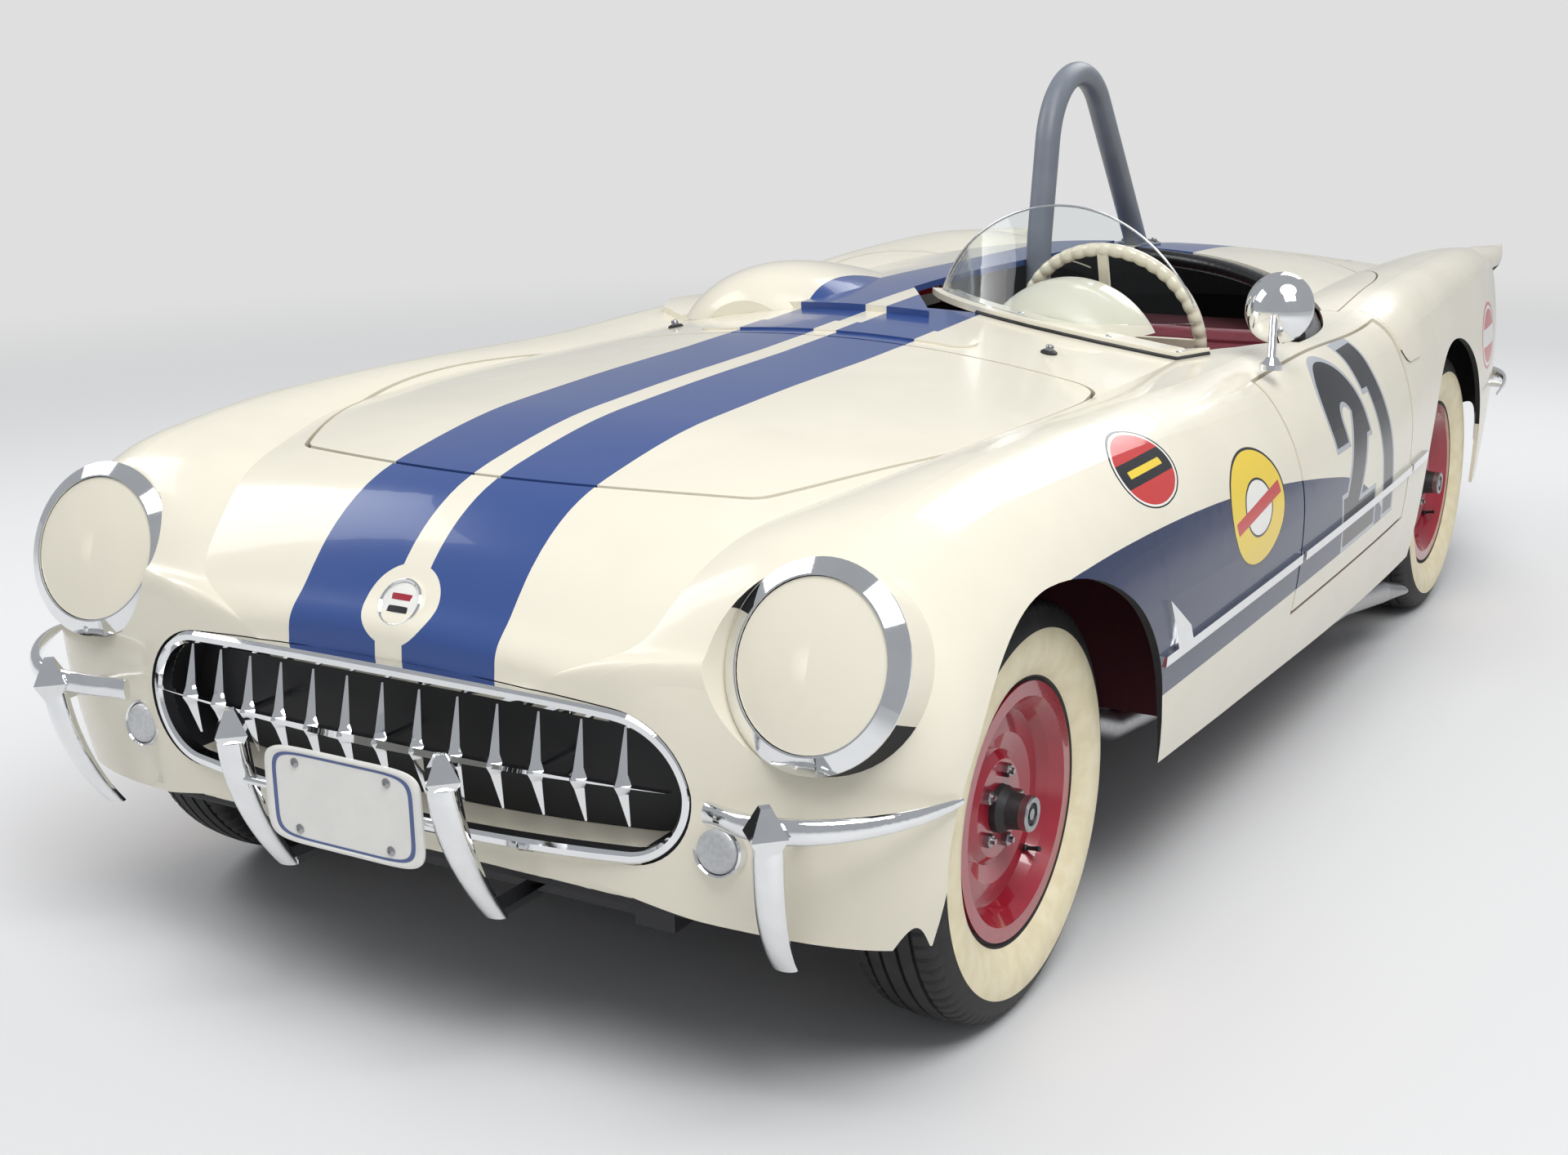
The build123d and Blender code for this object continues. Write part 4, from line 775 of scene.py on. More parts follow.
def slab(corners: Array, normal: Array, depth: float) -> list[Array]:
    """Closed plate as grids: two faces from rows of points, and the wall between their edges.

    Args:
        corners: Grid of points of one face.
        normal: Direction of the thickness.
        depth: Thickness.

    Returns:
        Grids to add to a form.
    """
    return plate(corners, corners + np.asarray(normal, float) * depth)


@dataclass
class Skin:
    """Triangles of some CAD nodes, for setting pieces on them.

    Attributes:
        nodes: Names of the nodes.
        axis: The axis along which points drop onto the skin.
    """

    nodes: tuple[str, ...]
    axis: int = 2

    def __post_init__(self) -> None:
        """Gather the nodes' triangles."""
        blocks = []
        for name in self.nodes:
            mesh = FRAME["nodes"][name].data
            mesh.calc_loop_triangles()
            points = np.empty(len(mesh.vertices) * 3, np.float32)
            mesh.vertices.foreach_get("co", points)
            corners = np.empty(len(mesh.loop_triangles) * 3, np.int32)
            mesh.loop_triangles.foreach_get("vertices", corners)
            blocks.append(points.reshape(-1, 3)[corners].reshape(-1, 3, 3))
        self.triangles = np.vstack(blocks).astype(float)

    def reach(self, places: Array, sign: int = 1) -> Array:
        """Furthest skin point along the axis at each place, by barycentric shares of each triangle.

        Args:
            places: Rows of the two other coordinates, in axis order.
            sign: 1 for the highest, -1 for the lowest.

        Returns:
            The coordinate along the axis, or nan where there is no skin.
        """
        others = [i for i in range(3) if i != self.axis]
        a, b, c = (self.triangles[:, k][:, others] for k in range(3))
        heights = self.triangles[:, :, self.axis]
        ab, ac = b - a, c - a
        area = ab[:, 0] * ac[:, 1] - ab[:, 1] * ac[:, 0]
        keep = abs(area) > 1e-12
        a, ab, ac, area, heights = a[keep], ab[keep], ac[keep], area[keep], heights[keep]
        off = np.asarray(places, float)[:, None, :] - a[None]
        s = (off[..., 0] * ac[:, 1] - off[..., 1] * ac[:, 0]) / area
        t = (ab[:, 0] * off[..., 1] - ab[:, 1] * off[..., 0]) / area
        inside = (s > -1e-6) & (t > -1e-6) & (s + t < 1 + 1e-6)
        value = heights[:, 0] + s * (heights[:, 1] - heights[:, 0]) + t * (heights[:, 2] - heights[:, 0])
        value = np.where(inside, sign * value, -np.inf).max(axis=1)
        return np.where(np.isfinite(value), sign * value, np.nan)

    def points(self, places: Array, sign: int = 1) -> Array:
        """Full points on the skin at each place."""
        places = np.asarray(places, float)
        return np.insert(places, self.axis, self.reach(places, sign), axis=1)

    def normals(self, places: Array, sign: int = 1) -> Array:
        """Outward normals at each place, from the skin's slope over 3 mm."""
        places = np.asarray(places, float)
        step = 0.003
        slopes = []
        for shift in ((step, 0.0), (0.0, step)):
            rise = self.reach(places + shift, sign) - self.reach(places - shift, sign)
            slopes.append(np.nan_to_num(rise / (2 * step)))
        normal = np.stack((-slopes[0], -slopes[1]), axis=1)
        normal = np.insert(normal, self.axis, 1.0, axis=1)
        return unit(normal) * sign


FRAME: dict = {}
MATERIALS: dict[str, bpy.types.Material] = {}


def screws(form: Form, places: Array, normals: Array, radius: float, height: float) -> None:
    """Add domed screws with a cross slot's dish, each a small surface of revolution.

    Args:
        form: The form to add to.
        places: Points on the skin.
        normals: Directions of the screws.
        radius: Head radius.
        height: Dome height.
    """
    shares = np.array(
        [(0.0, 0.55), (0.25, 0.6), (0.3, 0.98), (0.7, 0.8), (1.0, 0.25), (1.0, -0.6), (0.0, -0.6)]
    )
    profile = shares * (radius, height)
    for place, normal in zip(places, normals):
        form.grid(turned(profile, place, normal, 12), close_u=True)


def nuts(
    form: Form,
    centre: Array,
    normal: Array,
    ring: float,
    count: int,
    radius: float,
    height: float,
    lift: float,
) -> None:
    """Add hexagon nuts with a stud, evenly round an axis.

    Args:
        form: The form to add to.
        centre: Point on the axis.
        normal: Direction of the axis.
        ring: Radius of the circle that they stand on.
        count: How many.
        radius: Radius of a nut.
        height: Height of a nut.
        lift: Height of their foot above the centre.
    """
    first, second, third = axes(np.asarray(normal, float))
    for turn in np.arange(count) * 2 * np.pi / count:
        place = centre + ring * (np.cos(turn) * first + np.sin(turn) * second) + lift * third
        body = [(0, 0), (radius, 0), (radius, height * 0.8), (radius * 0.82, height), (0, height)]
        thin = radius * 0.45
        stud = [(0, height * 0.9), (thin, height * 0.9), (thin, height * 1.5), (0, height * 1.6)]
        form.grid(turned(body, place, third, 6), close_u=True)
        form.grid(turned(stud, place, third, 10), close_u=True)


# Pieces


def section_arc(first: tuple, middle: tuple, last: tuple, count: int) -> Array:
    """Points on the circle through three points, from the first to the last by way of the middle."""
    a, b, c = (np.asarray(p, float) for p in (first, middle, last))
    system = 2 * np.array((b - a, c - a))
    centre = np.linalg.solve(system, np.array((b @ b - a @ a, c @ c - a @ a)))
    radius = np.linalg.norm(a - centre)
    turns = [math.atan2(*(p - centre)[::-1]) for p in (a, b, c)]
    span = (turns[2] - turns[0]) % (2 * math.pi)
    if (turns[1] - turns[0]) % (2 * math.pi) > span:
        span -= 2 * math.pi
    turn = turns[0] + span * np.linspace(0.0, 1.0, count)
    return centre + radius * np.stack((np.cos(turn), np.sin(turn)), axis=1)


@dataclass
class Wheel:
    """One wheel's tyre with its tread, and the nuts, cap ring and valve of its hub.

    Attributes:
        name: Corner of the car.
        side: 1 on the left, -1 on the right.
        station: Station of the axle.
        track: Distance of the wheel's middle from the centre line.
        notches: Cuts round each shoulder.
        groove: Depth of the tread grooves.
        notch: Depth of the shoulder cuts.
    """

    name: str
    side: int
    station: float
    track: float
    notches: int = 84
    groove: float = 0.006
    notch: float = 0.003

    @property
    def body(self) -> str:
        """Body that the wheel turns with."""
        return f"wheel_{self.name}"

    @property
    def centre(self) -> Array:
        """Centre of the wheel."""
        return np.array((self.side * self.track, at(self.station), WHEEL_Z))

    def tyre(self) -> None:
        """Tyre of radius over offset and turn.

        The tread's radius falls with the square of the offset. Four grooves go round it, and the
        shoulders lose 3 mm in one step of five round the tyre.
        """
        wall = section_arc((0.057, 0.2085), (0.085, 0.264), (0.071, 0.315), 12)
        shoulder = section_arc((0.071, 0.315), (0.0655, 0.3255), (0.054, 0.332), 6)[1:]
        edges = np.array([-0.0032, -0.0024, 0.0024, 0.0032])
        middles = np.array([0.040, 0.0145, -0.0145, -0.040])
        ribs = [0.0, 0.050, -0.050, 0.027, -0.027]
        across = np.sort(np.concatenate(((middles[:, None] + edges).ravel(), ribs)))[::-1]
        sunk = (abs(across[:, None] - middles) < 0.0028).any(axis=1)
        tread = np.stack((across, 0.337 - 0.005 * (across / 0.054) ** 2 - self.groove * sunk), axis=1)
        half = np.vstack(((0.057, 0.191), wall, shoulder))
        back = half[::-1] * (-1, 1)
        profile = np.vstack((half, tread, back))
        wide = abs(profile[:, 0])
        cut = ((profile[:, 1] > 0.317) & (wide > 0.043) & (wide < 0.0715)) * self.notch
        step = np.arange(self.notches * 5)
        turn = step * 2 * np.pi / len(step)
        radius = profile[None, :, 1] - cut * (step % 5 == 0)[:, None]
        offset = np.broadcast_to(profile[None, :, 0] * self.side, radius.shape)
        turn = turn[:, None]
        surface = np.stack((offset, radius * np.cos(turn), radius * np.sin(turn)), axis=-1)
        material = MATERIALS[f"tyre_{int(self.station)}"]
        form = Form(f"tyre_tread_{self.name}").grid(surface + self.centre, True, True)
        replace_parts(form.finish(self.body, "tyre", material, 28.0), f"tyre_{self.name}")

    def hub(self) -> None:
        """Nuts on the wheel's disc, a turned ring on the cap, and the valve."""
        out = np.array((self.side, 0.0, 0.0))
        form = Form(f"wheel_nuts_{self.name}")
        nuts(form, self.centre, out, 0.0605, 5, 0.0115, 0.012, 0.030)
        form.finish(self.body, "steel", MATERIALS["steel"])
        form = Form(f"cap_ring_{self.name}")
        lip = [(0.0185, 0.0835), (0.0185, 0.087), (0.021, 0.0885), (0.0265, 0.0885)]
        skirt = [(0.0285, 0.086), (0.0285, 0.074), (0.0262, 0.074), (0.0262, 0.0835)]
        form.grid(turned(lip + skirt, self.centre, out, 40), True, True)
        dome = [(0, 0.0838), (0.008, 0.0838), (0.009, 0.0865), (0, 0.088)]
        form.grid(turned(dome, self.centre, out, 24), True)
        form.finish(self.body, "steel", MATERIALS["steel"])
        form = Form(f"valve_{self.name}")
        place = self.centre + np.array((self.side * 0.020, 0.110, -0.110))
        stem = [(0, -0.004), (0.0065, -0.004), (0.0055, 0.012), (0.0038, 0.014)]
        cap = [(0.0036, 0.030), (0.0044, 0.031), (0.0044, 0.038), (0, 0.039)]
        form.grid(turned(stem + cap, place, unit((self.side, -0.2, 0.2)), 14), True)
        form.finish(self.body, "pad", MATERIALS["rubber"])

    def build(self) -> None:
        """Make the wheel's pieces."""
        self.tyre()
        self.hub()


def power(values: Array, share: float) -> Array:
    """Size raised to a share, with the sign kept."""
    return np.sign(values) * abs(values) ** share


@dataclass
class Cushion:
    """Crowned cushion with sewn channels.

    Attributes:
        name: Name of the piece.
        centre: Its middle.
        half: Half-sizes across, along and through the cushion.
        lean: Angle by which it leans back about the car's width.
        channels: Number of channels across.
        depth: Depth of the channels' seams.
        fill: Stuffing, from 0 to 1; not used.
    """

    name: str
    centre: tuple[float, float, float]
    half: tuple[float, float, float]
    lean: float
    channels: int
    depth: float = 0.012
    fill: float = 0.7

    def sheet(self, side: int) -> Array:
        """Upper or lower side of the cushion over two shares from -1 to 1.

        Height is the half-thickness times a power of the product of 1 less each share to the
        eighth. The upper side swells towards its middle, and sinks along the seams by the depth
        times a sharp power of a cosine, and along a border line. In plan the sides pull in by
        2 % between the corners, and the corners are drawn in by 5 %.

        Args:
            side: 1 for the upper side, -1 for the lower one.

        Returns:
            A grid of local points.
        """
        u = np.sin(np.linspace(-np.pi / 2, np.pi / 2, 181))[:, None]
        v = np.sin(np.linspace(-np.pi / 2, np.pi / 2, 91))[None, :]
        across = u * (1 - 0.02 * (1 - v**2) - 0.05 * abs(v) ** 14)
        along = v * (1 - 0.02 * (1 - u**2) - 0.05 * abs(u) ** 14)
        height = ((1 - abs(u) ** 8) * (1 - abs(v) ** 8)) ** 0.42
        if side > 0:
            height = height * (0.86 + 0.14 * (1 - u**2) * (1 - v**2))
            seam = abs(np.cos(np.pi * self.channels * (u + 1) / 2)) ** 24
            inside = np.clip((0.80 - abs(u)) * 14, 0, 1) * np.clip((0.82 - abs(v)) * 14, 0, 1)
            border = np.exp(-((np.maximum(abs(u) - 0.84, abs(v) - 0.86) / 0.014) ** 2))
            sunk = np.maximum(seam * inside, border * 0.7) * (height > 0.5)
            height = height - self.depth / self.half[2] * sunk
        return np.stack((across, along, side * height), axis=-1) * self.half

    def build(self, replaced: str | None = None) -> None:
        """Turn both sides to the cushion's lean and join them at their edge.

        Args:
            replaced: CAD node that it stands for.
        """
        c, s = math.cos(self.lean), math.sin(self.lean)
        turnabout = np.array(((1, 0, 0), (0, c, -s), (0, s, c)))
        form = Form(self.name)
        for side in SIDES:
            form.grid(self.sheet(side) @ turnabout.T + np.array(self.centre))
        piece = form.finish("car", "trim", MATERIALS["trim"], 180.0)
        if replaced:
            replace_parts(piece, replaced)


@dataclass
class Cabin:
    """Seat, padded cockpit edge, wheel grips, dials, levers, pedals and door linings.

    Attributes:
        middle: Station of the cockpit's widest place.
        half: Half of the cockpit's width.
        reach: Length of the cockpit behind its widest place.
        tilt: Tilt of the steering wheel.
    """

    middle: float = 1431.0
    half: float = 0.776
    reach: float = 1.019
    tilt: float = math.radians(15.0)

    def seat(self) -> None:
        """Seat cushion and back inside the solid seat."""
        base = Cushion("seat_cushion", (0.405, at(1634.0), 0.372), (0.236, 0.205, 0.095), -0.05, 6)
        base.build("driver_seat")
        lean = math.radians(81.0)
        Cushion("seat_back", (0.405, at(1914.0), 0.556), (0.236, 0.258, 0.058), lean, 6).build()

    def edge_path(self, inset: float, first: float, last: float, count: int) -> Array:
        """Places on the cockpit's ellipse, inset from its edge, between two angles."""
        turn = np.radians(np.linspace(first, last, count))
        x = (self.half - inset) * np.cos(turn)
        return np.stack((x, at(self.middle) + (self.reach - inset) * np.sin(turn)), axis=1)

    def pad(self) -> None:
        """Rolled pad round the driver's side.

        A tube whose radius ripples by half a millimetre, 18 mm under the panel beside it.
        """
        skin = Skin(("body_rear", "deck_lid"))
        count = 150
        step = np.arange(count)
        places = self.edge_path(0.022, 3.0, 87.0, count)
        heights = skin.reach(self.edge_path(-0.030, 3.0, 87.0, count))
        heights = np.nan_to_num(heights, nan=np.nanmean(heights))
        smooth = np.polyval(np.polyfit(step, heights, 4), step)
        path = np.column_stack((places, smooth - 0.018))
        ripple = 0.0205 + 0.0005 * np.sin(step * 1.9) * np.sin(step * 0.37)
        form = Form("cockpit_roll").grid(tube(path, ripple, 20), close_v=True)
        piece = form.finish("car", "pad", MATERIALS["pad"], 180.0)
        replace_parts(piece, "cockpit_pad")

    def helm(self) -> None:
        """Rim with finger grips, a ring that swells 44 times on its inner side, and a hub cap."""
        centre = np.array((0.385, at(1372.0), 0.862))
        normal = np.array((0.0, math.cos(self.tilt), math.sin(self.tilt)))
        first, second, _ = axes(normal)
        turn = np.linspace(0, 2 * np.pi, 481)[:-1][:, None, None]
        bend = np.linspace(0, 2 * np.pi, 17)[:-1][None, :, None]
        grip = 0.0032 * np.sqrt(0.5 + 0.5 * np.cos(44 * turn)) * np.clip(0.35 - np.sin(bend), 0, 1)
        radius = 0.0133 + grip
        out = np.cos(turn) * first + np.sin(turn) * second
        surface = centre + out * (0.2 + radius * np.cos(bend)) + normal * radius * np.sin(bend)
        form = Form("helm_rim").grid(surface, True, True)
        form.finish("steering_wheel", "cream", MATERIALS["cream"], 80.0)
        cap = [(0, 0.0195), (0.030, 0.0195), (0.031, 0.026), (0.026, 0.030), (0.024, 0.029), (0, 0.032)]
        form = Form("helm_cap").grid(turned(cap, centre, normal, 40), True)
        form.finish("steering_wheel", "chrome", MATERIALS["chrome"])
        disc = [(0, 0.031), (0.0175, 0.031), (0.017, 0.0335), (0, 0.0345)]
        form = Form("helm_button").grid(turned(disc, centre, normal, 32), True)
        form.finish("steering_wheel", "rim", MATERIALS["rim"])

    def dials(self) -> None:
        """One large and two small dials with bright rings on the hump's rear face."""
        rings, faces, hands = Form("dial_rings"), Form("dial_faces"), Form("dial_hands")
        back = np.array((0.0, 1.0, 0.0))
        for x, z, radius in ((0.330, 0.944, 0.036), (0.238, 0.926, 0.020), (0.422, 0.926, 0.020)):
            centre = np.array((x, at(1292.0), z))
            edge = np.array([(0, -0.002), (0.003, -0.002), (0.003, 0.004), (0.001, 0.0055), (0, 0.004)])
            rings.grid(turned(edge + (radius, 0), centre, back, 40), True, True)
            disc = [(0, -0.001), (radius, -0.001), (radius, 0.0015), (0, 0.002)]
            faces.grid(turned(disc, centre, back, 40), True)
            turn = np.radians(np.linspace(-130, 130, 11 if radius > 0.03 else 7))
            for angle in turn:
                way = np.array((math.sin(angle), 0.0, math.cos(angle)))
                mark = np.array([centre + way * radius * s for s in (0.72, 0.92)]) + back * 0.0026
                hands.grid(tube(mark, 0.0008, 6), close_v=True)
            way = np.array((math.sin(-1.9), 0.0, math.cos(-1.9)))
            needle = np.array([centre + way * radius * s for s in (-0.15, 0.8)]) + back * 0.0032
            hands.grid(tube(needle, np.array((0.0014, 0.0005)), 6), close_v=True)
        rings.finish("car", "chrome", MATERIALS["chrome"])
        faces.finish("car", "dark", MATERIALS["dial"])
        hands.finish("car", "cream", MATERIALS["white"])

    def levers(self) -> None:
        """Gear lever with its boot and knob, and three pedals on their arms."""
        foot = np.array((0.03, at(1330.0), 0.430))
        low = [(0, -0.002), (0.055, -0.002), (0.055, 0.004), (0.046, 0.012), (0.040, 0.014)]
        high = [(0.032, 0.026), (0.026, 0.028), (0.016, 0.046), (0.0, 0.048)]
        form = Form("lever_boot").grid(turned(low + high, foot, (0, 0, 1), 32), True)
        form.finish("car", "pad", MATERIALS["rubber"])
        share = np.linspace(0, 1, 16)[:, None]
        bow = np.sin(share * np.pi)
        path = foot + share * (0.03, 0.05, 0.17) + bow * (0.0, -0.018, 0.0) + (0, 0, 0.03)
        form = Form("gear_lever").grid(tube(path, 0.0055, 12), close_v=True)
        form.finish("car", "chrome", MATERIALS["chrome"])
        knob = [(0, -0.016), (0.007, -0.016), (0.018, -0.004), (0.021, 0.006), (0.015, 0.018), (0, 0.022)]
        form = Form("lever_knob").grid(turned(knob, path[-1], (0.1, 0.2, 1), 24), True)
        form.finish("car", "cream", MATERIALS["cream"])
        arms, pads = Form("pedal_arms"), Form("pedal_pads")
        for x, wide, low in ((0.300, 0.034, 0.330), (0.400, 0.034, 0.330), (0.500, 0.026, 0.315)):
            top = np.array((x, at(748.0), 0.600))
            end = np.array((x, at(840.0), low + 0.04))
            arm = top + (end - top) * share + bow * (0, 0.02, 0)
            arms.grid(tube(arm, 0.007, 10), close_v=True)
            u = np.linspace(-1, 1, 9)[:, None]
            v = np.linspace(-1, 1, 25)[None, :]
            tread = 0.0012 * (np.sin(v * 32) > 0)
            depth = at(842.0) + 0.008 * v + tread
            grids = np.broadcast_arrays(x + u * wide, depth, low + 0.04 + 0.038 * v)
            for block in slab(np.stack(grids, axis=-1), (0.0, -0.008, 0.0), 1.0):
                pads.grid(block)
        arms.finish("car", "chassis", MATERIALS["chassis"])
        pads.finish("car", "pad", MATERIALS["rubber"])

    def linings(self) -> None:
        """Pleated linings on the doors, with a chrome pull handle.

        The lining stands off the door by 3 mm times the size of a cosine along its height, and
        falls to the door at its edges.
        """
        for side, name in ((1, "left"), (-1, "right")):
            u = np.linspace(0, 1, 60)[:, None]
            v = np.linspace(0, 1, 90)[None, :]
            pleat = 0.0015 + 0.0042 * abs(np.sin(v * np.pi * 7)) ** 0.6 + 0 * u
            edge = np.clip(np.minimum(np.minimum(u, 1 - u) * 40, np.minimum(v, 1 - v) * 25), 0, 1)
            x = side * (0.8068 - pleat * edge)
            card = np.stack(np.broadcast_arrays(x, at(1075.0) + 0.79 * u, 0.425 + 0.36 * v), axis=-1)
            back = card.copy()
            back[..., 0] = side * 0.8075
            form = Form(f"door_lining_{name}")
            for block in plate(card, back):
                form.grid(block)
            form.finish(f"door_{name}", "trim", MATERIALS["trim"], 60.0)
            share = np.linspace(0, 1, 24)[:, None]
            bow = np.sin(share * np.pi) * (side * 0.012, 0, 0)
            pull = np.array((side * 0.800, at(1350.0), 0.72)) + share * (0, 0.22, 0) - bow
            form = Form(f"door_pull_{name}").grid(tube(pull, 0.006, 12), close_v=True)
            form.finish(f"door_{name}", "chrome", MATERIALS["chrome"])

    def build(self) -> None:
        """Make the cabin's pieces."""
        self.seat()
        self.pad()
        self.helm()
        self.dials()
        self.levers()
        self.linings()


@dataclass
class Screen:
    """Bright edge, rubber gasket and screws of the racing screen."""

    def arcs(self) -> tuple[Array, Array]:
        """Foot and head bows of the sheet in plan, by the same share of their length."""
        foot = section_arc((0.030, at(1254.0)), (0.335, at(1090.0)), (0.648, at(1193.0)), 400)
        head = section_arc((0.062, at(1262.0)), (0.360, at(1203.0)), (0.640, at(1224.0)), 400)
        return foot, head

    def edge(self) -> None:
        """Bead along the sheet's arched edge.

        The sheet's point at a height is the foot's and head's mixed by the height's share, and
        the edge's x and height follow the circle of the arch.
        """
        foot, head = self.arcs()
        arch = section_arc((0.034, 0.930), (0.363, 1.153), (0.644, 0.930), 240)[10:-10]
        share = (arch[:, 1:] - 0.930) / 0.235
        xs = foot[:, 0] * (1 - share) + head[:, 0] * share
        pick = np.clip((xs < arch[:, :1]).sum(axis=1), 1, 399)
        row = np.arange(len(arch))
        span = xs[row, pick] - xs[row, pick - 1]
        part = (arch[:, 0] - xs[row, pick - 1]) / span
        ys = foot[:, 1] * (1 - share) + head[:, 1] * share
        y = ys[row, pick - 1] + part * (ys[row, pick] - ys[row, pick - 1]) + 0.0025
        path = np.column_stack((arch[:, 0], y, arch[:, 1]))
        form = Form("screen_edge").grid(tube(path, 0.0024, 8), close_v=True)
        form.finish("car", "glass", MATERIALS["glassy"], 60.0)

    def gasket(self) -> None:
        """Rubber bead under the base's front edge, along its outer bow on the cowl."""
        bow = section_arc((0.012, at(1262.0)), (0.318, at(1075.0)), (0.664, at(1196.0)), 90)
        skin = Skin(("body_front",))
        z = skin.reach(bow)
        keep = np.isfinite(z)
        path = np.column_stack((bow[keep], z[keep] + 0.002))
        form = Form("screen_gasket").grid(tube(path, 0.0045, 10), close_v=True)
        form.finish("car", "pad", MATERIALS["rubber"], 80.0)

    def fixings(self) -> None:
        """Domed screws through the base."""
        spots = ((0.115, 1213.0), (0.287, 1118.0), (0.483, 1108.0), (0.612, 1160.0))
        places = np.array([(x, at(station)) for x, station in spots])
        skin = Skin(("windscreen_base",))
        spots = skin.points(places)
        keep = np.isfinite(spots).all(axis=1)
        form = Form("screen_screws")
        screws(form, spots[keep], skin.normals(places[keep]), 0.0065, 0.0032)
        form.finish("car", "chrome", MATERIALS["chrome"])

    def build(self) -> None:
        """Make the screen's pieces."""
        self.edge()
        self.gasket()
        self.fixings()


@dataclass
class Trim:
    """Small fittings on the outside: badge, plate, screws, wiper posts, lamp rings and flanges."""

    def badge(self) -> None:
        """Round badge on the nose: a bright ring round a bare two-tone disc."""
        place = np.array((0.0, at(BADGE_STATION), BADGE_Z))
        normal = unit((0.0, -0.80, 0.60))
        ring = [(0.0335, -0.006), (0.039, -0.006), (0.039, 0.004), (0.0365, 0.0065), (0.0335, 0.004)]
        form = Form("badge_ring").grid(turned(ring, place, normal, 56), True, True)
        form.finish("car", "chrome", MATERIALS["chrome"])
        disc = [(0, -0.006), (0.034, -0.006), (0.034, 0.002), (0.02, 0.0035), (0, 0.004)]
        form = Form("badge_disc").grid(turned(disc, place, normal, 48), True)
        form.finish("car", "cream", MATERIALS["white"])
        first, second, third = axes(normal)
        for name, low, finish in (("badge_bar_red", 0.004, "rim"), ("badge_bar_dark", -0.016, "dark")):
            u = np.linspace(-1, 1, 17)[:, None, None]
            v = np.linspace(0, 0.010, 3)[None, :, None]
            lift = 0.0046 - 0.0012 * u**2
            bar = place + u * 0.019 * first + (low + v) * second + lift * third
            form = Form(name)
            for block in slab(bar, third, -0.003):
                form.grid(block)
            form.finish("car", finish, MATERIALS[finish])

    def plate(self) -> None:
        """Blank white plate with rounded corners, a raised edge and four bolts.

        The outline is the side of a square mapped to a rounded rectangle; rings run in from it by
        shares, and the ring at 94 % stands up.
        """
        turn = np.linspace(0, 2 * np.pi, 129)[:-1]
        across, up = power(np.cos(turn), 0.30), power(np.sin(turn), 0.30)
        shares = np.array((0.0, 0.3, 0.6, 0.85, 0.90, 0.93, 0.96, 1.0))
        lifts = np.array((0, 0, 0, 0, 0.0, 0.0016, 0.0016, 0.0)) + 0.0006
        centre = np.array((0.018, at(-668.0), 0.438))
        x = shares[:, None] * across * 0.150
        z = shares[:, None] * up * 0.076
        face = np.stack((x, -lifts[:, None] + 0 * x, z), axis=-1) + centre
        back = face.copy()
        back[..., 1] = centre[1] + 0.0032
        wall = np.stack((face[-1], back[-1]))
        form = Form("plate_face")
        for block in (face, back, wall):
            form.grid(block, close_v=True)
        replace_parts(form.finish("car", "cream", MATERIALS["white"]), "plate")
        rings = np.stack((face[3], face[4])) + (0, -0.0004, 0)
        line = Form("plate_line").grid(np.concatenate((rings, rings[::-1] + (0, 0.0003, 0))), True, True)
        line.finish("car", "cream", MATERIALS["blue"])
        form = Form("plate_bolts")
        spots = centre + np.array([(sx * 0.088, -0.001, sz * 0.052) for sx in SIDES for sz in SIDES])
        screws(form, spots, np.tile((0.0, -1.0, 0.0), (4, 1)), 0.0075, 0.004)
        form.finish("car", "steel", MATERIALS["steel"])

    def lamps(self) -> None:
        """Screws in the lamp rings, bright rims round the parking lamps and the tail lamps."""
        form = Form("bezel_screws")
        tilt, toe = math.radians(19.5), math.radians(5.0)
        rims = Form("parking_rims")
        for side in SIDES:
            level = np.array((-side * math.sin(toe), -math.cos(toe), 0.0))
            normal = level * math.cos(tilt) + (0.0, 0.0, math.sin(tilt))
            down = unit(np.array((0, 0, -1.0)) + normal * normal[2])
            centre = np.array((side * 0.691, at(-456.0), 0.691))
            spot = centre + down * 0.136 + normal * 0.0098
            screws(form, [spot], [unit(normal + down * 0.55)], 0.0052, 0.003)
            place = np.array((side * 0.564, at(-524.0), 0.423))
            outer = [(0.040, -0.030), (0.0395, -0.008), (0.037, -0.0035)]
            ring = [(0.0345, -0.030), *outer, (0.0345, -0.006)]
            rims.grid(turned(ring, place, unit((0, -1, 0.15)), 44), True, True)
        form.finish("car", "chrome", MATERIALS["chrome"])
        rims.finish("car", "chrome", MATERIALS["chrome"])
        skin = Skin(("body_rear",), axis=1)
        form = Form("tail_rims")
        turn = np.linspace(0, 2 * np.pi, 65)[:-1]
        for side in SIDES:
            round_lamp = 0.0485 * np.stack((np.cos(turn), np.sin(turn)), axis=1)
            circle = round_lamp + (side * 0.690, 0.706)
            y = skin.reach(circle)
            y = np.where(np.isfinite(y), y, np.nanmax(y))
            path = np.stack((circle[:, 0], y, circle[:, 1]), axis=1)
            form.grid(tube(path, 0.005, 10, closed=True), True, True)
        form.finish("car", "chrome", MATERIALS["chrome"])

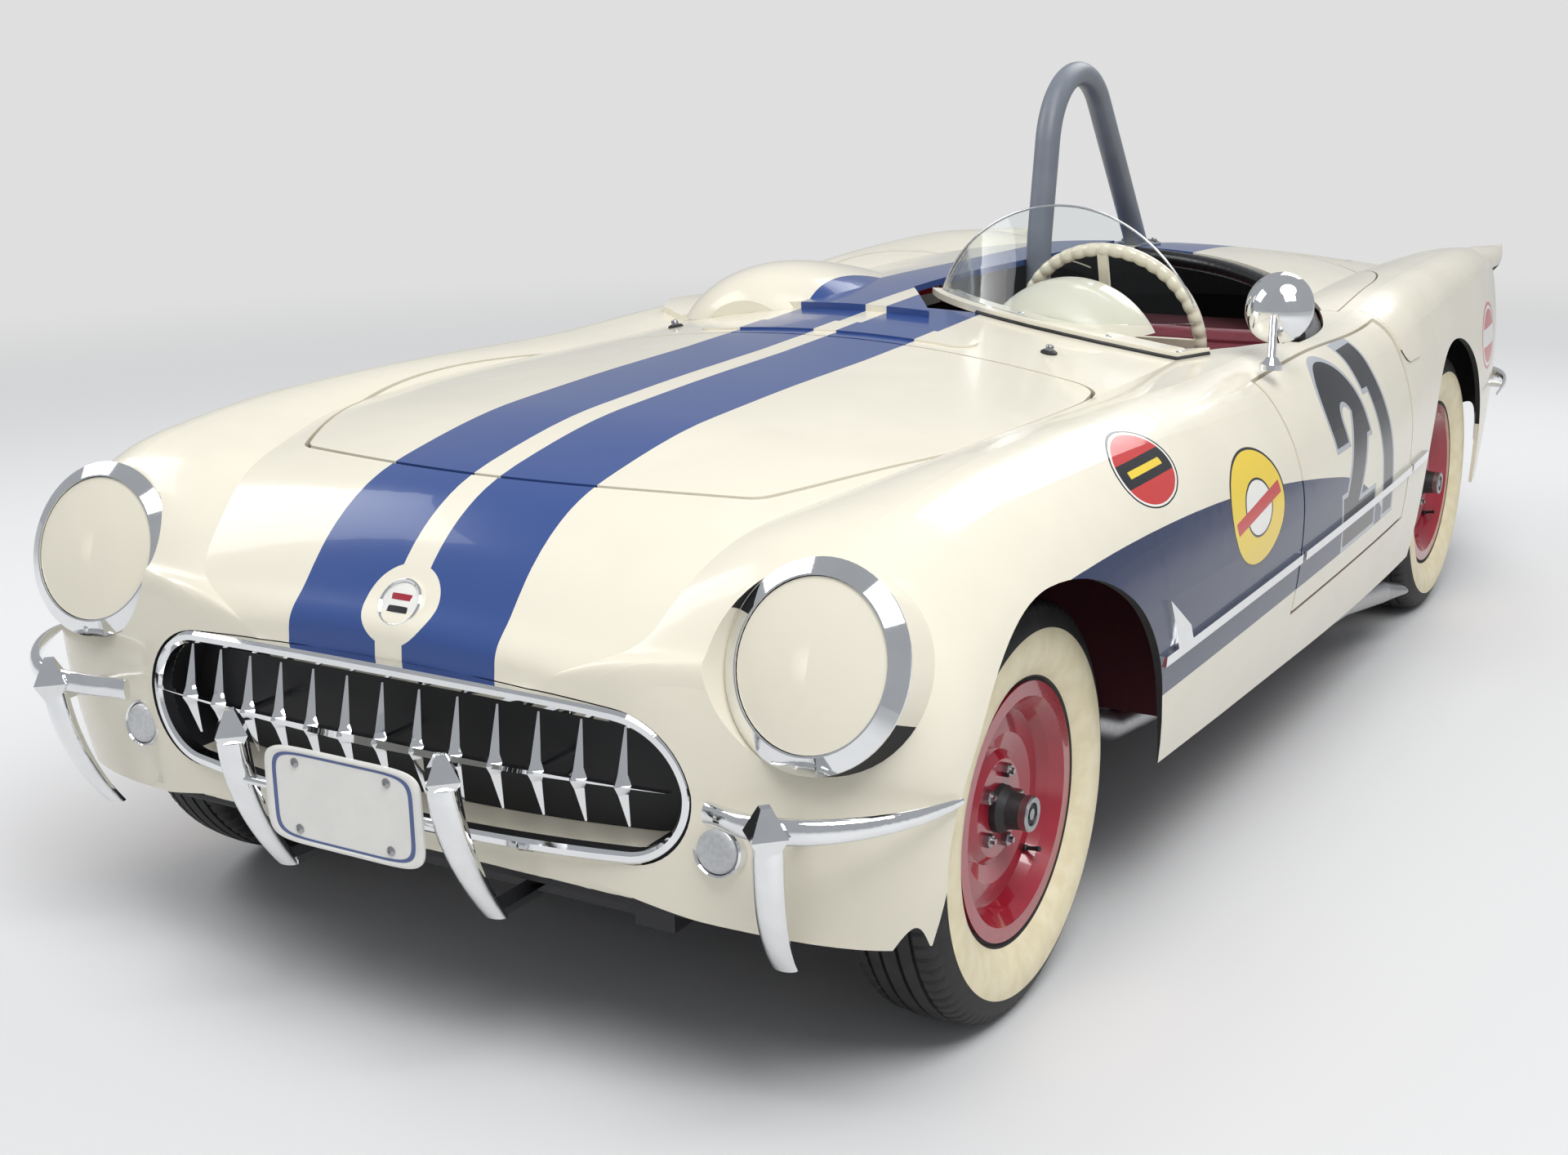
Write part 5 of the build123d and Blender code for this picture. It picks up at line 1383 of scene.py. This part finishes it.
    def posts(self) -> None:
        """Two plugged wiper holes in the cowl, a rubber ring and a metal plug each."""
        places = np.array([(0.435, at(917.0)), (-0.435, at(917.0))])
        skin = Skin(("body_front",))
        spots, ways = skin.points(places), skin.normals(places)
        rubber, metal = Form("post_seals"), Form("post_plugs")
        for spot, way in zip(spots, ways):
            seal = [(0, -0.003), (0.017, -0.003), (0.0165, 0.003), (0.012, 0.006), (0, 0.006)]
            rubber.grid(turned(seal, spot, way, 28), True)
            plug = [(0, 0.005), (0.008, 0.005), (0.008, 0.013), (0.006, 0.016), (0, 0.017)]
            metal.grid(turned(plug, spot, way, 20), True)
        rubber.finish("car", "pad", MATERIALS["rubber"])
        metal.finish("car", "steel", MATERIALS["steel"])

    def hoop_feet(self) -> None:
        """Bolted flanges where the roll hoop meets the tunnel and the deck."""
        flange, bolts = Form("hoop_flanges"), Form("hoop_bolts")
        rim = [(0.0302, 0.0), (0.058, 0.0), (0.058, 0.004), (0.056, 0.006)]
        disc = [*rim, (0.033, 0.006), (0.0315, 0.012), (0.0302, 0.012)]
        skin = Skin(("deck_lid",))
        rear = np.array([(0.0, at(2556.0))])
        front = (np.array((0.0, at(1868.0), 0.430)), np.array((0.0, 0.0, 1.0)))
        for spot, way in (front, (skin.points(rear)[0], skin.normals(rear)[0])):
            flange.grid(turned(disc, spot, way, 48), True, True)
            nuts(bolts, spot, way, 0.046, 6, 0.0065, 0.006, 0.006)
        flange.finish("car", "hoop", MATERIALS["hoop"])
        bolts.finish("car", "steel", MATERIALS["steel"])

    def pipe_mouth_painted_shade(self) -> None:
        """Dark sheet in the flattened end of the side pipe, an ellipse inside its rim: painted shade
        standing for the inside of the pipe's opening.
        """
        way = unit((0.0, 0.346, -0.059))
        centre = np.array((0.800, at(2146.0), 0.149)) + way * 0.1102
        up = unit(np.cross(way, (1.0, 0.0, 0.0)))
        turn = np.linspace(0, 2 * np.pi, 49)[:-1][None, :, None]
        share = np.array((0.0, 0.5, 1.0, 1.0, 0.0))[:, None, None]
        lift = np.array((0.0006, 0.0006, 0.0006, -0.003, -0.003))[:, None, None]
        edge = np.cos(turn) * 0.043 * np.array((1.0, 0, 0)) + np.sin(turn) * 0.0125 * up
        mouth = centre + share * edge + lift * way
        # The near-black disc over the pipe's end is painted shade where the pipe is open.
        Form("pipe_mouth_painted_shade").grid(mouth, close_v=True).finish("car", "dark", MATERIALS["dark"])

    def mirror_fittings(self) -> None:
        """Glass in the mirror's face, its ball and its foot on the door."""
        head = np.array((0.806, at(1186.0), 0.970))
        way = unit((-0.10, -0.95, 0.25))
        glass = [(0, -0.0015), (0.062, -0.0015), (0.062, 0.0008), (0, 0.0012)]
        form = Form("mirror_glass").grid(turned(glass, head, -way, 48), True)
        form.finish("door_left", "chrome", MATERIALS["glassy"])
        foot = np.array((0.822, at(1092.0), 0.876))
        base = [(0, -0.012), (0.022, -0.012), (0.022, -0.002), (0.017, 0.004), (0.011, 0.012), (0, 0.014)]
        ball = np.array((0.806, at(1150.0), 0.980))
        turn = np.linspace(-math.pi / 2, math.pi / 2, 13)
        sphere = 0.0145 * np.stack((np.cos(turn), np.sin(turn)), axis=1)
        form = Form("mirror_mount").grid(turned(base, foot, (0, 0.1, 1), 32), True)
        form.grid(turned(sphere, ball, (0, 0, 1), 24), True)
        form.finish("door_left", "chrome", MATERIALS["chrome"])

    def build(self) -> None:
        """Make the fittings."""
        self.badge()
        self.plate()
        self.lamps()
        self.posts()
        self.hoop_feet()
        self.pipe_mouth_painted_shade()
        self.mirror_fittings()


@dataclass
class Studio:
    """Floor, backdrop light and the camera at the photograph's viewpoint.

    Attributes:
        lens: Focal length in millimetres on a 36 mm wide frame.
        place: Camera position.
        yaw: Heading, turned about +Z from +Y.
        pitch: Downward tilt.
        roll: Turn about the view direction.
    """

    lens: float = 45.57
    place: tuple[float, float, float] = (1.9483, -4.0780, 1.5120)
    yaw: float = -0.5382
    pitch: float = 0.2678
    roll: float = -0.0183

    def camera(self) -> None:
        """Set the camera from its heading, tilt and roll.

        Forward is (sin yaw cos pitch, cos yaw cos pitch, -sin pitch), right is level, and both
        right and up turn by roll about forward.
        """
        cp, sp = math.cos(self.pitch), math.sin(self.pitch)
        cy, sy = math.cos(self.yaw), math.sin(self.yaw)
        forward = Vector((sy * cp, cy * cp, -sp))
        right = Vector((cy, -sy, 0.0))
        up = right.cross(forward)
        turned_right = right * math.cos(self.roll) + up * math.sin(self.roll)
        turned_up = up * math.cos(self.roll) - right * math.sin(self.roll)
        data = bpy.data.cameras.new("camera")
        data.lens = self.lens
        data.sensor_width = 36.0
        data.sensor_fit = "HORIZONTAL"
        data.clip_end = 100.0
        data.shift_x = 3.15 / 1920.0
        data.shift_y = -3.33 / 1920.0
        made = bpy.data.objects.new("camera", data)
        bpy.context.collection.objects.link(made)
        rows = Matrix((turned_right, turned_up, -forward)).transposed().to_4x4()
        made.matrix_world = Matrix.Translation(self.place) @ rows
        bpy.context.scene.camera = made

    def light(self) -> None:
        """Soft overhead light in an even pale surround."""
        bpy.context.scene.view_settings.view_transform = "Standard"
        world = bpy.data.worlds.new("surround")
        bpy.context.scene.world = world
        world.use_nodes = True
        nodes, links = world.node_tree.nodes, world.node_tree.links
        nodes.clear()
        lit = nodes.new("ShaderNodeBackground")
        lit.inputs["Color"].default_value = (0.92, 0.95, 1.0, 1.0)
        lit.inputs["Strength"].default_value = 0.42
        seen = nodes.new("ShaderNodeBackground")
        seen.inputs["Color"].default_value = (BACKDROP, BACKDROP, BACKDROP, 1.0)
        seen.inputs["Strength"].default_value = 1.0
        path = nodes.new("ShaderNodeLightPath")
        mix = nodes.new("ShaderNodeMixShader")
        out = nodes.new("ShaderNodeOutputWorld")
        links.new(path.outputs["Is Camera Ray"], mix.inputs[0])
        links.new(lit.outputs[0], mix.inputs[1])
        links.new(seen.outputs[0], mix.inputs[2])
        links.new(mix.outputs[0], out.inputs["Surface"])
        for name, spot, power_w, size in (
            ("key", (2.6, -2.8, 4.4), 120.0, 2.4),
            ("fill", (-4.0, -1.5, 3.8), 70.0, 2.4),
            ("back", (0.5, 4.2, 4.2), 90.0, 2.8),
        ):
            data = bpy.data.lights.new(name, "AREA")
            data.energy = power_w
            data.size = size
            made = bpy.data.objects.new(name, data)
            bpy.context.collection.objects.link(made)
            made.location = spot
            aim = Vector((0.0, 0.0, 0.5)) - Vector(spot)
            made.rotation_euler = aim.to_track_quat("-Z", "Y").to_euler()
        data = bpy.data.lights.new("overhead", "SUN")
        data.energy = 1.0
        data.angle = math.radians(40.0)
        made = bpy.data.objects.new("overhead", data)
        bpy.context.collection.objects.link(made)
        made.rotation_euler = (math.radians(18.0), math.radians(14.0), 0.0)

    def floor(self) -> None:
        """Plain pale floor that keeps the shadow and fades to the backdrop away from the car."""
        shader = Shader("floor")
        x, y, _ = shader.coords()
        far = (x * x + y * y).root().ramp(3.6, 9.0)
        seen = shader.node("ShaderNodeLightPath", output="Is Camera Ray")
        matt = shader.node("ShaderNodeBsdfDiffuse", None, {"Color": (0.72, 0.72, 0.72)})
        glow = {"Color": (BACKDROP, BACKDROP, BACKDROP), "Strength": 1.0}
        even = shader.node("ShaderNodeEmission", None, glow)
        mixed = shader.node("ShaderNodeMixShader", None, {0: far * seen, 1: matt, 2: even})
        material = shader.close(mixed)
        reach = 60.0
        mesh = bpy.data.meshes.new("floor")
        corners = [(x * reach, y * reach, 0) for x, y in ((-1, -1), (1, -1), (1, 1), (-1, 1))]
        mesh.from_pydata(corners, [], [(0, 1, 2, 3)])
        mesh.materials.append(material)
        made = bpy.data.objects.new("floor", mesh)
        bpy.context.collection.objects.link(made)

    def build(self) -> None:
        """Make the camera, lights and floor."""
        self.camera()
        self.light()
        self.floor()


PANELS = {
    "body_front": Panel.NOSE,
    "body_rear": Panel.TAIL,
    "hood": Panel.STRIPED,
    "trunk_lid": Panel.STRIPED,
    "deck_lid": Panel.STRIPED,
    "cowl_vent": Panel.STRIPED,
    "passenger_cover": Panel.COVER,
    "door_left": Panel.DOOR_LEFT,
    "door_right": Panel.DOOR_RIGHT,
    "dash": Panel.DASH,
}


def dress(frame: dict) -> None:
    """Give every CAD node its finish.
    """
    slots = {part["node"]: part["material_slot"] for part in frame["record"]["subparts"]}
    for name, finish in FINISHES.items():
        MATERIALS[name] = finish.make()
    MATERIALS["glass"] = glass_finish()
    for panel in Panel:
        low = 0.3 if panel is Panel.TAIL else 0.612
        MATERIALS[panel.value] = BodyPaint(panel, stripe_low=low).make()
    MATERIALS["tyre_0"] = TyreFinish(0.0, FRONT_TRACK).make()
    MATERIALS["tyre_2591"] = TyreFinish(WHEELBASE, REAR_TRACK).make()
    special = {"floor_pan": "carpet", "firewall": "carpet", "rear_bulkhead": "carpet"}
    for name, piece in frame["nodes"].items():
        slot = slots[name]
        key = special.get(name, slot)
        if slot == "body_paint":
            key = PANELS.get(name, Panel.PLAIN).value
        if slot == "tyre":
            key = "tyre_0" if "front" in name else "tyre_2591"
        piece.data.materials.clear()
        piece.data.materials.append(MATERIALS[key])


def main(frame: dict) -> None:
    """Dress the model and report each piece.
    """
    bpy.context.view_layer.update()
    FRAME.update(frame)
    Studio().build()
    dress(frame)
    for name, side, station, track in (
        ("front_left", 1, 0.0, FRONT_TRACK),
        ("front_right", -1, 0.0, FRONT_TRACK),
        ("rear_left", 1, WHEELBASE, REAR_TRACK),
        ("rear_right", -1, WHEELBASE, REAR_TRACK),
    ):
        Wheel(name, side, station, track).build()
    Cabin().build()
    Screen().build()
    Trim().build()


if __name__ == "__main__":
    logging.basicConfig(level=logging.INFO, format="%(message)s")
    main(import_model())
